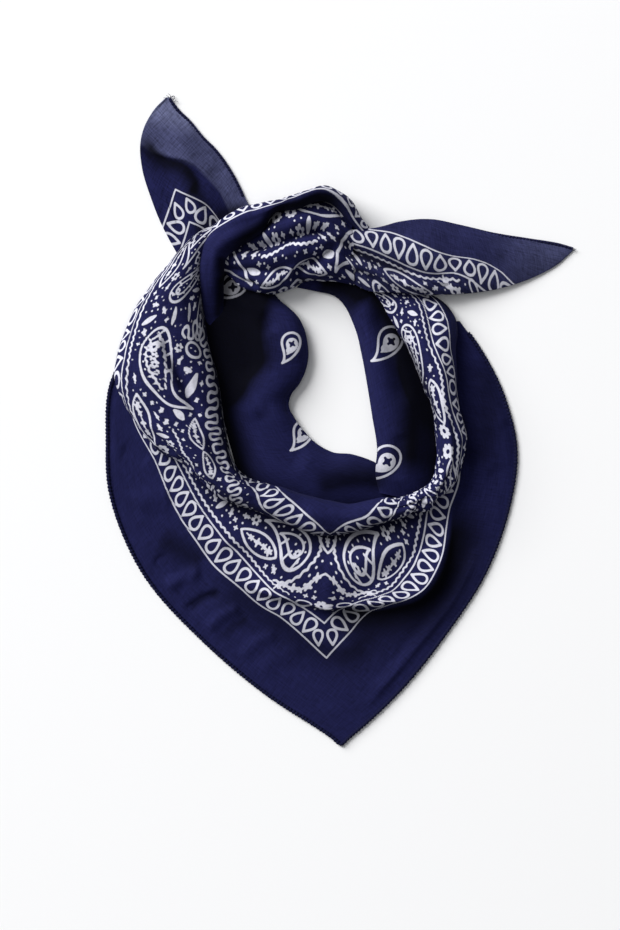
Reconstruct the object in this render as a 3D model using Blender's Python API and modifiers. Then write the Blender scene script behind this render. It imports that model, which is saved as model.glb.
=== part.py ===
"""A square cotton bandana folded to a triangle, rolled along its fold and knotted, lying on a table.

Metres, +Z up. Tables are in millimetres. X runs to the wearer's left tail, -Y to the front corner.
Each stretch of cloth that shows is one body: the neck band, the roll, the knot, the flap and the tails.
A wall stands for two layers of cotton with the air between them, and a rolled stretch is one rounded body.
"""

import bmesh
import bpy
import numpy as np

MM = 0.001
CLOTH = 1.6  # thickness of a wall of two layers
REST = 0.8  # middle of a wall that lies on the table
SEAM = 0.3  # air between two bodies that meet
HEM_RADIUS = 1.1  # half the overlocked edge
HEM_INSET = 2.6  # from the outline to the edge of the wall beside the hem
ARCH_POINTS = 10  # across the top of a rolled stretch
ROUNDNESS = 0.8  # below one, the arch is fuller than a half ellipse

# Rolled stretch, from the right end over the knot, down the left, round the front and up the right.
# outer x, outer y, inner x, inner y, crest z, base z
ROLL = (
    (14, 147, 9, 140.5, 16, 2.5),  # 0 right end over the knot
    (-4, 167, -13, 151.5, 28, 2.5),
    (-28, 163, -38, 147, 30, 2.5),
    (-55, 156, -63, 131, 26, 2.5),  # 3 leaves the knot
    (-107, 131, -92, 126, 18, 2.5),
    (-125, 110, -98, 109, 22, 2.5),  # 5 left shoulder
    (-143, 87, -99, 93, 26, 2.5),
    (-155.5, 62, -94, 62, 28, 2.5),
    (-162, 33, -87, 29, 28, 2.5),
    (-143, -6.5, -82, -4, 27, 2.5),  # 9 left side
    (-116, -29.5, -74, -32, 25, 2.5),
    (-89, -53, -61, -43, 23, 3),
    (-55, -67, -39, -49, 22, 6.5),  # 12 front
    (-28, -78.5, -25, -53, 22, 6.5),
    (-6.5, -83, -8, -57, 21, 6.5),
    (12, -79, 9.4, -59, 21, 6.5),  # 15
    (33, -73, 28, -56, 22, 6.5),
    (60.5, -64, 46, -54, 23, 5.5),
    (81, -48, 65, -45, 24, 3),  # 18 right corner
    (92, -15, 70, -13.7, 26, 2.5),
    (85.7, 15, 63, 18, 27, 2.5),  # 20 right side
    (85, 51, 51, 48, 25, 2.5),
    (83.5, 74, 40, 66, 20, 2.5),
    (72.7, 88, 31, 82, 10, 2.5),  # 23 under the right tail
    (52, 99, 22, 93, 7, 2.5),
)
# name, first row, last row, sections
ROLL_PIECES = (
    ("knot_strand", 0, 3, 10),
    ("roll_left_top", 3, 5, 7),
    ("roll_left_upper", 5, 7, 6),
    ("roll_left_lower", 7, 9, 6),
    ("roll_front_left", 9, 12, 9),
    ("roll_front", 12, 15, 8),
    ("roll_front_right", 15, 18, 8),
    ("roll_right", 18, 21, 9),
    ("roll_right_top", 21, 24, 8),
)

# The pleated end wrapped under the strand, from its left point to the right tail.
# upper x, upper y, lower x, lower y, crest z, base z
WRAP = (
    (-86, 117, -86, 112, 14, 2.5),
    (-62.6, 130, -67, 95, 22, 2.5),
    (-38, 145.8, -46, 91, 31, 2.5),
    (-13, 150.4, -22, 100, 34, 2.5),
    (-1, 146.4, -7, 110, 30, 2.5),
    (8.6, 139, 4.6, 116, 22, 2.5),
)

# Neck band on the left and across the front, from the opening out to the valley beside the roll.
# opening x, opening y, valley x, valley y, opening z, rise, valley z
NECK_LEFT = (
    (-52, 96, -87, 116, 0.9, 0, 0.9),  # 0 under the knot
    (-45, 86, -93, 104, 0.9, 0, 0.9),
    (-36, 77, -95, 94, 4, 3, 0.9),
    (-28, 70, -94, 81, 8, 7, 0.9),  # 3
    (-23, 52, -90, 58, 9, 8, 0.9),
    (-24.5, 37, -84, 35, 9, 8, 0.9),
    (-36, 12, -79, 6.5, 8, 8, 0.9),  # 6
    (-32, 1, -73, -21, 7, 7, 0.9),
    (-21, -13, -62, -41, 5, 6, 0.9),
    (-5, -23, -29, -50, 4, 5, 0.9),  # 9
    (9.6, -24.7, 0, -55, 4, 5, 0.9),
    (25, -30, 24, -54, 3, 3, 0.9),
    (38, -38, 50, -50, 1.2, 0.5, 0.9),  # 12 under the right band
)
NECK_LEFT_PIECES = (("neck_left", 0, 6, 17), ("neck_front", 6, 12, 15))
# Neck band on the right, from under the knot down to where it crosses the front band.
NECK_RIGHT = (
    (-24, 98, -12, 106, 0.9, 0, 0.9),
    (-4, 92, 20, 91, 2.5, 2, 0.9),
    (4, 86, 29, 76, 7, 4, 0.9),
    (13.5, 65, 38, 58, 8, 6, 0.9),
    (17.3, 48.6, 47, 44, 8, 7, 0.9),
    (21.6, 24.5, 58, 19, 8, 7, 0.9),
    (25, 2, 65, -3, 9, 7, 0.9),
    (28, -19.7, 62.5, -24, 11, 6, 2.5),
    (27, -38, 57, -42, 11, 5, 4.5),
)
NECK_PIECES = (("neck_right", 0, 8, 22),)
NECK_TUCK = 1.15  # how far the band runs on under the roll, as a share of its own width

# The triangle that hangs in front, from its hem in under the roll.
# hem x, hem y, inner x, inner y, lift of the inner edge, swell behind the front crease
FLAP = (
    (-137, 86, -118, 87, 0, 0),  # 0 left end under the roll
    (-152.6, 55, -126, 55, 0, 0),
    (-166, 26, -131, 26, 0, 0),
    (-168.5, -14, -126, -8, 0, 0),
    (-166, -53, -101, -33, 0, 0),  # 4
    (-143, -109, -76, -54, 0.5, 3),
    (-98, -160, -46, -62, 4.2, 7),
    (-53, -198, -24.5, -68, 4.2, 8),
    (-6, -229, -9, -71, 4.2, 8.2),
    (1.4, -234.5, -7, -71, 4.2, 8.2),  # 9 front corner
    (9, -228.5, -5, -71, 4.2, 8.2),
    (45, -195, 9, -70, 4.2, 8),
    (78, -154, 28, -66, 4.2, 7),
    (107, -109, 50, -58, 2, 3),
    (125, -57, 74, -43, 0, 1),  # 14
    (129, -21, 78, -14, 0, 0),
    (121, 15, 74, 15, 0, 0),
    (103, 52, 68, 50, 0, 0),
    (88, 73, 60, 69, 0, 0),  # 18 right end under the roll
)
FLAP_PIECES = (("flap_left", 0, 5, 16), ("flap_front", 5, 13, 31), ("flap_right", 13, 18, 15))
SWELL_AT = 0.76  # share of the way in from the hem
SWELL_HALF_WIDTH = 0.17

# Tails, from the knot to the corner of the cloth.
# one edge x, y, other edge x, y, first z, second z, rise between
TAIL_RIGHT = (
    (9.3, 138.5, 5.4, 115.5, 13, 9, 7),
    (14.5, 137.5, 9, 103, 14, 9, 7),
    (24, 138, 19, 97, 13, 11, 6),
    (44, 143, 44, 94, 11, 14, 6),
    (63, 145, 66, 91.5, 8, 14, 6),
    (87, 141, 91, 92.5, 6, 9, 5),
    (112, 135.5, 116, 96.5, 4, 6, 4),
    (137.5, 132, 141, 105, 2.5, 3, 3),
    (159, 129, 159, 114, 1.2, 1.2, 1.2),
    (169.4, 125.5, 168.4, 122, 0.9, 0.9, 0.1),
)
TAIL_LEFT = (
    (-111, 121, -62, 150, 0.9, 0.9, 0),
    (-119.5, 124, -66, 158, 0.9, 0.9, 0.4),
    (-128, 141, -71, 169, 0.9, 0.9, 3),
    (-136, 161, -78, 182, 0.9, 0.9, 4),
    (-142.6, 184, -89, 197, 0.9, 0.9, 4),
    (-143.6, 199, -98, 206, 0.9, 0.9, 3),
    (-140, 214, -107, 217, 0.9, 0.9, 2),
    (-133, 226, -116, 226, 0.9, 0.9, 0.6),
    (-125, 234.6, -121.5, 234.6, 0.9, 0.9, 0),
)


def through(rows, at):
    """Rows at fractional row numbers, on a smooth curve whose knots are spaced by their chords."""
    rows = np.asarray(rows, dtype=float)
    chord = np.linalg.norm(np.diff(rows, axis=0), axis=1)[:, None]
    slope = np.diff(rows, axis=0) / chord
    middle = (slope[:-1] * chord[1:] + slope[1:] * chord[:-1]) / (chord[1:] + chord[:-1])
    tangent = np.vstack([slope[:1], middle, slope[-1:]])
    i = np.clip(np.asarray(at).astype(int), 0, len(rows) - 2)
    t = (at - i)[:, None]
    start = (1 + 2 * t) * (1 - t) ** 2 * rows[i] + t * (1 - t) ** 2 * chord[i] * tangent[i]
    end = t**2 * (3 - 2 * t) * rows[i + 1] + t**2 * (t - 1) * chord[i] * tangent[i + 1]
    return start + end


def stretch(rows, first, last, count):
    """The rows of one piece, pulled in at both ends by half the seam."""
    near = through(rows, np.array([first, first + 0.01, last - 0.01, last]))
    move = near[1::2, :4] - near[::2, :4]
    pace = 100 * np.minimum(np.hypot(move[:, 0], move[:, 1]), np.hypot(move[:, 2], move[:, 3]))
    pull = 0.6 * SEAM / pace
    return through(rows, np.linspace(first + pull[0], last - pull[1], count))


def moved_in(path, other, distance):
    """A path in plan moved sideways towards the other path."""
    along = np.gradient(path, axis=0)
    side = np.stack([-along[:, 1], along[:, 0]], axis=1)
    side /= np.linalg.norm(side, axis=1)[:, None]
    side *= np.sign(((other - path) * side).sum(axis=1))[:, None]
    return path + side * distance


def new_object(name, points, faces, material):
    """A mesh object from points in millimetres."""
    mesh = bpy.data.meshes.new(name)
    mesh.from_pydata((points * MM).tolist(), [], faces)
    body = bmesh.new()
    body.from_mesh(mesh)
    bmesh.ops.recalc_face_normals(body, faces=body.faces)
    body.to_mesh(mesh)
    body.free()
    mesh.materials.append(material)
    item = bpy.data.objects.new(name, mesh)
    bandana.objects.link(item)
    return item


def quads(rows, columns, closed):
    """Faces of a grid of points, closed round its columns or open."""
    last = columns if closed else columns - 1
    return [
        (i * columns + j, (i + 1) * columns + j, (i + 1) * columns + (j + 1) % columns, i * columns + (j + 1) % columns)
        for i in range(rows - 1)
        for j in range(last)
    ]


def rolled(name, table, first, last, count):
    """One rounded body: an arch over a flat base, lofted along the rows."""
    row = stretch(table, first, last, count)
    turn = np.linspace(0, np.pi, ARCH_POINTS)
    across = (0.5 * (1 - np.cos(turn)))[None, :, None]
    arch = np.sin(turn) ** ROUNDNESS
    arch[-1] = 0
    plan = row[:, None, :2] + (row[:, None, 2:4] - row[:, None, :2]) * across
    height = row[:, 5:6] + (row[:, 4:5] - row[:, 5:6]) * arch
    points = np.concatenate([plan, height[:, :, None]], axis=2).reshape(-1, 3)
    faces = quads(count, ARCH_POINTS, True)
    faces.append(tuple(range(ARCH_POINTS)))
    faces.append(tuple(range((count - 1) * ARCH_POINTS, count * ARCH_POINTS)))
    return new_object(name, points, faces, cotton)


def wall(name, near, far, share, height):
    """A wall of cloth between two edges in plan, with its middle at the given heights."""
    plan = near[:, None] + (far - near)[:, None] * share[None, :, None]
    points = np.concatenate([plan, height[:, :, None]], axis=2).reshape(-1, 3)
    item = new_object(name, points, quads(len(near), len(share), False), cotton)
    solid = item.modifiers.new("thickness", "SOLIDIFY")
    solid.thickness = CLOTH * MM
    solid.offset = 0
    return item


def neck(name, table, first, last, count):
    """A neck band: it rises from the opening, rounds over and dips to the valley beside the roll."""
    row = stretch(table, first, last, count)
    share = np.append(np.linspace(0, 1, 7), NECK_TUCK)
    dip = np.minimum(share, 1)
    rise = np.maximum(row[:, 5:6], 0)
    height = row[:, 4:5] + (row[:, 6:7] - row[:, 4:5]) * dip + rise * np.sin(np.pi * dip)
    return wall(name, row[:, :2], row[:, 2:4], share, np.maximum(height, REST))


def flap(name, table, first, last, count):
    """A part of the hanging triangle: flat from the hem, swelling behind the crease, then under the roll."""
    row = stretch(table, first, last, count)
    share = np.linspace(0, 1, 12) ** 0.9
    ramp = np.clip((share - 0.6) / 0.3, 0, 1)
    bump = np.cos(0.5 * np.pi * np.clip((share - SWELL_AT) / SWELL_HALF_WIDTH, -1, 1)) ** 2
    lift, swell = np.maximum(row[:, 4:5], 0), np.maximum(row[:, 5:6], 0)
    height = REST + lift * ramp**2 * (3 - 2 * ramp) + swell * bump
    return wall(name, moved_in(row[:, :2], row[:, 2:4], HEM_INSET), row[:, 2:4], share, height)


def tail(name, table, count, hem_side):
    """A tail: a shallow ridge between its two edges, one of them hemmed."""
    row = stretch(table, 0, len(table) - 1, count)
    share = np.linspace(0, 1, 7)
    height = row[:, 4:5] + (row[:, 5:6] - row[:, 4:5]) * share + row[:, 6:7] * np.sin(np.pi * share)
    edges = [row[:, :2], row[:, 2:4]]
    edges[hem_side] = moved_in(edges[hem_side], edges[1 - hem_side], HEM_INSET)
    return wall(name, edges[0], edges[1], share, height)


def hem(name, table, first, last, count, hem_side, edge_z):
    """The overlocked edge: a round cord just outside the wall, from row to row."""
    row = through(table, np.linspace(first, last, count))
    edges = [row[:, :2], row[:, 2:4]]
    path = moved_in(edges[hem_side], edges[1 - hem_side], HEM_RADIUS)
    z = np.maximum(HEM_RADIUS, row[:, edge_z] if edge_z else 0)
    z = np.broadcast_to(z, count)
    curve = bpy.data.curves.new(name, "CURVE")
    curve.dimensions = "3D"
    curve.bevel_depth = HEM_RADIUS * MM
    curve.bevel_resolution = 1
    curve.use_fill_caps = True
    line = curve.splines.new("POLY")
    line.points.add(count - 1)
    points = np.column_stack([path * MM, z * MM, np.ones(count)])
    line.points.foreach_set("co", points.ravel())
    curve.materials.append(thread)
    item = bpy.data.objects.new(name, curve)
    bandana.objects.link(item)
    return item


def new_material(name, colour, roughness):
    """A plain material of one colour."""
    material = bpy.data.materials.new(name)
    material.use_nodes = True
    shader = material.node_tree.nodes["Principled BSDF"]
    shader.inputs["Base Color"].default_value = (*colour, 1)
    shader.inputs["Roughness"].default_value = roughness
    return material


for item in list(bpy.data.objects):
    bpy.data.objects.remove(item)
bandana = bpy.data.collections.new("bandana")
bpy.context.scene.collection.children.link(bandana)
cotton = new_material("cotton", (0.020, 0.020, 0.085), 0.85)
thread = new_material("thread", (0.012, 0.012, 0.055), 0.8)

for piece in ROLL_PIECES:
    rolled(piece[0], ROLL, *piece[1:])
rolled("knot_wrap", WRAP, 0, 5, 13)
for piece in NECK_LEFT_PIECES:
    neck(piece[0], NECK_LEFT, *piece[1:])
for piece in NECK_PIECES:
    neck(piece[0], NECK_RIGHT, *piece[1:])
for piece in FLAP_PIECES:
    flap(piece[0], FLAP, *piece[1:])
tail("tail_left", TAIL_LEFT, 20, 1)
tail("tail_right", TAIL_RIGHT, 20, 0)
hem("hem_front_left", FLAP, 0.4, 8.8, 44, 0, None)
hem("hem_front_right", FLAP, 9.2, 17.6, 44, 0, None)
hem("hem_tail_left", TAIL_LEFT, 1.4, 7.9, 24, 1, 5)
hem("hem_tail_right", TAIL_RIGHT, 5.6, 8.9, 16, 0, 4)
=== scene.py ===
"""A printed cotton bandana, folded to a triangle, rolled, knotted and lying on a pale table.

The cloth is a set of thin sheets in millimetres, one for each stretch that shows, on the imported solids.
Every point of a sheet knows its place in the flat square, so that weave and print follow the cloth.
"""

import logging
import math
from dataclasses import dataclass, field
from enum import Enum
from typing import Any, Callable, Sequence

import bpy
import numpy as np
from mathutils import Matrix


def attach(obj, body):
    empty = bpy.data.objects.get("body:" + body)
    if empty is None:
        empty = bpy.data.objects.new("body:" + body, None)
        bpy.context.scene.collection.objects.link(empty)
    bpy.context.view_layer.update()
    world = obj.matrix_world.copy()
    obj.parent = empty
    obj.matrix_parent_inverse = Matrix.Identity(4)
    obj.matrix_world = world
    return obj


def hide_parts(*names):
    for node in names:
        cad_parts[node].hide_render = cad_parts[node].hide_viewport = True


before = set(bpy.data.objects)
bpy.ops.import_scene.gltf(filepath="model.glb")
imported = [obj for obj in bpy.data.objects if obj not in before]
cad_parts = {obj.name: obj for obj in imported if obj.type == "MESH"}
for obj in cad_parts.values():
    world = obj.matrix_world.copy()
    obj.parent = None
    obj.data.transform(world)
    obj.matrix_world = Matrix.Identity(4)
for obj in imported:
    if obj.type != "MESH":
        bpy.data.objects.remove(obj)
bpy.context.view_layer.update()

MM = 0.001
SIDE = 550.0  # the flat square
HALF = SIDE / 2
MARGIN = 46.0  # plain border outside the print
BAND = 17.0  # drop border between two lines
ZONE = 80.0  # ornament between the two drop borders
INNER_BAND = 15.0
PLEAT_MEAN = 0.64  # mean of |cos|, taken off so that pleated cloth keeps its height
PLEAT_GAIN = 1.6  # pleat height for each unit of depth in the tables
LOG = logging.getLogger("bandana")

Array = np.ndarray
Table = tuple[tuple[float, ...], ...]


# ---------------------------------------------------------------- shapes from tables


def through(rows: Array, at: Array) -> Array:
    """Rows at fractional row numbers, on a cubic curve with its knots spaced by the rows' chords.

    Args:
        rows: One row of numbers per knot.
        at: Row numbers, whole or fractional.

    Returns:
        One interpolated row for each number.
    """
    rows = np.asarray(rows, dtype=float)
    chord = np.linalg.norm(np.diff(rows[:, :4], axis=0), axis=1)[:, None] + 1e-6
    slope = np.diff(rows, axis=0) / chord
    middle = (slope[:-1] * chord[1:] + slope[1:] * chord[:-1]) / (chord[1:] + chord[:-1])
    tangent = np.vstack([slope[:1], middle, slope[-1:]])
    i = np.clip(np.asarray(at).astype(int), 0, len(rows) - 2)
    t = (at - i)[:, None]
    start = (1 + 2 * t) * (1 - t) ** 2 * rows[i] + t * (1 - t) ** 2 * chord[i] * tangent[i]
    end = t**2 * (3 - 2 * t) * rows[i + 1] + t**2 * (t - 1) * chord[i] * tangent[i + 1]
    return start + end


def even_rows(rows: Sequence[Sequence[float]], first: float, last: float, count: int) -> Array:
    """Rows from first to last, spaced evenly along the longer of the two edges in plan.

    Args:
        rows: The table; its first four columns are the two edges in plan.
        first: Row number where the stretch starts.
        last: Row number where it ends.
        count: How many rows to return.

    Returns:
        The interpolated rows.
    """
    dense = np.linspace(first, last, 600)
    path = through(np.asarray(rows), dense)
    step = np.diff(path[:, :4], axis=0)
    pace = np.maximum(np.hypot(step[:, 0], step[:, 1]), np.hypot(step[:, 2], step[:, 3]))
    length = np.concatenate([[0], np.cumsum(pace)])
    return through(np.asarray(rows), np.interp(np.linspace(0, length[-1], count), length, dense))


def smoothstep(low: float, high: float, value: Array) -> Array:
    """A soft step from 0 at low to 1 at high: t squared times three less two t."""
    t = np.clip((value - low) / (high - low), 0, 1)
    return t * t * (3 - 2 * t)


def rumple(x: Array, y: Array, size: float, seed: int) -> Array:
    """Soft unevenness: seven sine waves of different lengths and headings, summed to about plus or minus one.

    Args:
        x: Plan position in millimetres.
        y: Plan position in millimetres.
        size: Typical width of a wave in millimetres.
        seed: Chooses headings and phases.

    Returns:
        A height for each point.
    """
    draw = np.random.default_rng(seed)
    total = np.zeros_like(x)
    for wave in range(7):
        heading, phase = draw.uniform(0, 2 * np.pi, 2)
        pace = 2 * np.pi / (size * draw.uniform(1.2, 3.2))
        total += np.sin(pace * (x * np.cos(heading) + y * np.sin(heading)) + phase)
    return total / 3.2


def normals(points: Array) -> Array:
    """Unit normals of a grid: the cross product of its two directions, turned upwards on average.

    Args:
        points: A grid of points.

    Returns:
        The upward unit normal at each point.
    """
    across = np.cross(np.gradient(points, axis=0), np.gradient(points, axis=1))
    across /= np.linalg.norm(across, axis=2, keepdims=True) + 1e-12
    return across if across[..., 2].mean() > 0 else -across


@dataclass(frozen=True)
class Crease:
    """A soft fold along a path in plan: a ridge with a height above zero, a trough with one below.

    Its cross-section is a bell, exp(-(d / width) squared), with its own width on each side of the path,
    and it fades over a fifth of its length at each end.
    """

    path: Table
    height: float
    left: float
    right: float

    def lift(self, x: Array, y: Array) -> Array:
        """The height that this fold adds at each point.

        Args:
            x: Plan position in millimetres.
            y: Plan position in millimetres.

        Returns:
            The height in millimetres.
        """
        path = smooth_path(np.asarray(self.path, dtype=float), 6)
        step = np.diff(path, axis=0)
        size = np.hypot(step[:, 0], step[:, 1])
        start = np.concatenate([[0], np.cumsum(size)])
        best = np.full(x.shape, 1e9)
        side = np.zeros_like(x)
        share = np.zeros_like(x)
        for (ax, ay), (dx, dy), long, before in zip(path[:-1], step, size, start[:-1], strict=True):
            t = np.clip(((x - ax) * dx + (y - ay) * dy) / long**2, 0, 1)
            gap = np.hypot(x - ax - t * dx, y - ay - t * dy)
            closer = gap < best
            best = np.where(closer, gap, best)
            side = np.where(closer, dx * (y - ay) - dy * (x - ax), side)
            share = np.where(closer, (before + t * long) / start[-1], share)
        fade = smoothstep(0, 0.2, share) * smoothstep(0, 0.2, 1 - share)
        width = np.where(side > 0, self.left, self.right)
        return self.height * fade * np.exp(-((best / width) ** 2))


def smooth_path(path: Array, pieces: int) -> Array:
    """A finer path on the cubic curve through a few plan points.

    Args:
        path: Corner points in plan.
        pieces: Points for each stretch between corners.

    Returns:
        The smooth path.
    """
    if len(path) < 3:
        return path
    doubled = np.hstack([path, path])
    return through(doubled, np.linspace(0, len(path) - 1, pieces * (len(path) - 1) + 1))[:, :2]


@dataclass(frozen=True)
class FlatMap:
    """Where laid cloth was in the flat square: a thin-plate spline through given pairs of places.

    Each row is plan x, y and flat p, q. The spline bends as little as it can: it adds r squared log r for each
    pair to a sloping plane, so borders and ornament keep their shape between the pairs.
    """

    pairs: Table
    ease: float = 2.0

    def at(self, plan: Array) -> Array:
        """The flat places of a grid of plan positions.

        Args:
            plan: Positions in millimetres, in the last axis.

        Returns:
            Flat places of the same shape.
        """
        pairs = np.array(self.pairs, dtype=float)
        known, count = pairs[:, :2] / 100, len(pairs)
        poly = np.hstack([np.ones((count, 1)), known])
        system = np.zeros((count + 3, count + 3))
        system[:count, :count] = self._bend(known, known) + self.ease * 1e-3 * np.eye(count)
        system[:count, count:], system[count:, :count] = poly, poly.T
        weights = np.linalg.solve(system, np.vstack([pairs[:, 2:4], np.zeros((3, 2))]))
        wanted = plan.reshape(-1, 2) / 100
        flat = self._bend(wanted, known) @ weights[:count]
        flat += np.hstack([np.ones((len(wanted), 1)), wanted]) @ weights[count:]
        return flat.reshape(plan.shape)

    @staticmethod
    def _bend(places: Array, known: Array) -> Array:
        """r squared log r for each place and each known place."""
        square = ((places[:, None] - known[None]) ** 2).sum(axis=2)
        return 0.5 * square * np.log(square + 1e-12)


# ---------------------------------------------------------------- the print


class Held(Enum):
    """How a stretch of cloth lies."""

    LAID = "laid"
    FOLDED = "folded"
    GATHERED = "gathered"


class Ink(Enum):
    """How a stroke changes the drawing."""

    LAY = 1
    CLEAR = -1


@dataclass(frozen=True)
class Stroke:
    """A line of the drawing: its points as complex numbers in millimetres, its width, and what it does."""

    points: Array
    width: float
    ink: Ink = Ink.LAY


Motif = list[Stroke]


def turned(motif: Motif, place: complex, degrees: float = 0, size: float = 1, flip: bool = False) -> Motif:
    """A motif mirrored if asked, scaled, turned and moved to its place.

    Args:
        motif: Strokes round the origin.
        place: Where the origin goes.
        degrees: Turn, anticlockwise.
        size: Scale of the shape and of its line widths.
        flip: Mirror first.

    Returns:
        New strokes.
    """
    spin = size * np.exp(1j * np.radians(degrees))
    return [
        Stroke(place + spin * (-np.conj(s.points) if flip else s.points), s.width * size, s.ink) for s in motif
    ]


def curve(*points: complex, pieces: int = 5) -> Array:
    """A smooth path of complex points through a few given ones."""
    path = smooth_path(np.array([[p.real, p.imag] for p in points], dtype=float), pieces)
    return path[:, 0] + 1j * path[:, 1]


def drop_path(length: float, width: float, count: int = 28) -> Array:
    """Outline of a drop with its point up: y = cos t, x = sin t sin(t/2) to the power 1.3."""
    t = np.linspace(0, 2 * np.pi, count)
    return 0.5 * width * np.sin(t) * np.sin(t / 2) ** 1.3 + 0.5j * length * np.cos(t)


def paisley_path(length: float, width: float, bend: float, count: int = 56) -> Array:
    """A drop whose point bends over: each point turns by bend times its height from the round end squared."""
    path = drop_path(length, width, count) + 0.5j * length
    return path * np.exp(1j * bend * (path.imag / length) ** 2)


def drop(length: float, width: float, line: float) -> Motif:
    """An outlined drop."""
    return [Stroke(drop_path(length, width), line)]


def dot(place: complex, width: float, ink: Ink = Ink.LAY) -> Stroke:
    """A round dot, which is a stroke of no length."""
    return Stroke(np.array([place, place]), width, ink)


def flower(radius: float, petals: int = 6, hole: float = 0.3) -> Motif:
    """A filled flower: short fat petals round a heart, with a dark eye.

    Args:
        radius: From the middle to the petals' tips.
        petals: How many petals.
        hole: Radius of the eye as a share of the radius, 0 for none.

    Returns:
        The strokes.
    """
    turn = np.exp(2j * np.pi * np.arange(petals) / petals + 0.4j)
    strokes = [Stroke(np.array([0.2 * radius * t, 0.74 * radius * t]), 0.52 * radius) for t in turn]
    strokes.append(dot(0, 1.1 * radius))
    if hole:
        strokes.append(dot(0, 2 * hole * radius, Ink.CLEAR))
    return strokes


def chain(points: Array, size: float) -> Motif:
    """Small four-petalled flowers strung on a stalk.

    Args:
        points: The stalk; a flower stands on each point but its two ends.
        size: Radius of a flower.

    Returns:
        The strokes.
    """
    strokes = [Stroke(points, 0.4 * size)]
    for number, place in enumerate(points[1:-1]):
        grow = size * (0.9 + 0.25 * (number % 2))
        strokes += turned(flower(grow, 4, 0), place, 20 + 35 * number)
    return strokes


def offset_path(path: Array, amount: Array) -> Array:
    """A path moved sideways, to its left, by an amount at each point."""
    along = np.gradient(path)
    return path + 1j * along / (np.abs(along) + 1e-9) * amount


def finer(path: Array, step: float) -> Array:
    """The same path with its points spaced evenly, about a step apart.

    Args:
        path: A path in the drawing.
        step: Distance between the new points.

    Returns:
        The same path with evenly spaced points.
    """
    length = np.concatenate([[0], np.cumsum(np.abs(np.diff(path)))])
    at = np.linspace(0, length[-1], max(3, int(length[-1] / step)))
    return np.interp(at, length, path.real) + 1j * np.interp(at, length, path.imag)


def scallops(path: Array, pitch: float, depth: float, line: float) -> Stroke:
    """A line of little arches: the path moved sideways by depth times the size of a sine.

    Args:
        path: The line that the scallops follow.
        pitch: Length of one scallop.
        depth: How far it bulges.
        line: Line width.

    Returns:
        One stroke.
    """
    fine = finer(path, pitch / 7)
    length = np.concatenate([[0], np.cumsum(np.abs(np.diff(fine)))])
    return Stroke(offset_path(fine, depth * np.abs(np.sin(np.pi * length / pitch))), line)


def squiggle(path: Array, pitch: float, reach: float, line: float) -> Stroke:
    """A wave with full round turns: it swings sideways and a little back and forth along the path.

    Args:
        path: The line that the wave follows.
        pitch: Length of one wave.
        reach: Half its height.
        line: Line width.

    Returns:
        One stroke.
    """
    fine = finer(path, pitch / 14)
    length = np.concatenate([[0], np.cumsum(np.abs(np.diff(fine)))])
    along = np.gradient(fine) / (np.abs(np.gradient(fine)) + 1e-9)
    phase = 2 * np.pi * length / pitch
    return Stroke(fine + along * (1j * reach * np.sin(phase) - 0.16 * pitch * np.sin(2 * phase)), line)


def pearls(path: Array, pitch: float, width: float) -> Motif:
    """A row of dots along a path."""
    return [dot(place, width) for place in finer(path, pitch)]


def oval(wide: float, high: float, count: int = 26) -> Array:
    """A closed oval round the origin, from its two half widths."""
    turn = np.linspace(0, 2 * np.pi, count)
    return wide * np.cos(turn) + 1j * high * np.sin(turn)


def arc(centre: complex, radius: float, start: float, end: float, count: int = 24) -> Array:
    """A round arc about a centre, from one heading to another in degrees."""
    return centre + radius * np.exp(1j * np.radians(np.linspace(start, end, count)))


def spiral(radius: float, turns: float, line: float) -> Motif:
    """A curl that winds inwards: its radius falls evenly to a fifth while its heading turns."""
    t = np.linspace(0, 1, 34)
    return [Stroke(radius * (1 - 0.8 * t) * np.exp(2j * np.pi * turns * t), line)]


def white_leaf(length: float, width: float) -> Motif:
    """A small leaf filled with ink: three strokes side by side that meet at its ends.

    Args:
        length: From point to point.
        width: At the middle.

    Returns:
        The strokes.
    """
    t = np.linspace(-0.5, 0.5, 9)
    swell = 0.5 * width * np.cos(np.pi * t)
    return [Stroke(1j * length * t + side * swell * 0.6, 0.42 * width) for side in (-1, 0, 1)]


def knots(points: Array, size: float) -> Motif:
    """Open little lozenges in a row, joined at their points, with a hook at each end.

    Args:
        points: The ends of the lozenges.
        size: Twice the line width.

    Returns:
        The strokes.
    """
    strokes = []
    for start, end in zip(points[:-1], points[1:], strict=True):
        middle, reach = (start + end) / 2, (end - start) / 2
        ring = middle + reach * np.array([-1, 0.62j, 1, -0.62j, -1])
        strokes.append(Stroke(ring, 0.5 * size))
    strokes.append(Stroke(points[0] + size * np.array([0, -1.3 + 0.6j, -2.0 - 0.4j]), 0.5 * size))
    strokes.append(Stroke(points[-1] + size * np.array([0, 1.2 + 0.9j, 1.6 + 2.1j]), 0.5 * size))
    return strokes


def leaf(length: float, width: float, line: float) -> Motif:
    """A pointed leaf with a flower chain along its middle.

    Args:
        length: From point to point.
        width: At the middle.
        line: Line width.

    Returns:
        The strokes.
    """
    t = np.linspace(0, 1, 16)
    edge = 0.5 * width * np.sin(np.pi * t) ** 0.8
    strokes = [Stroke(side * edge + 1j * length * (t - 0.5), line) for side in (-1, 1)]
    stalk = 1j * length * np.array([-0.35, -0.22, -0.04, 0.14, 0.28, 0.37])
    return strokes + chain(stalk + 0.3 * np.cos(np.arange(6) * 2.1), 0.21 * width)


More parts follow.
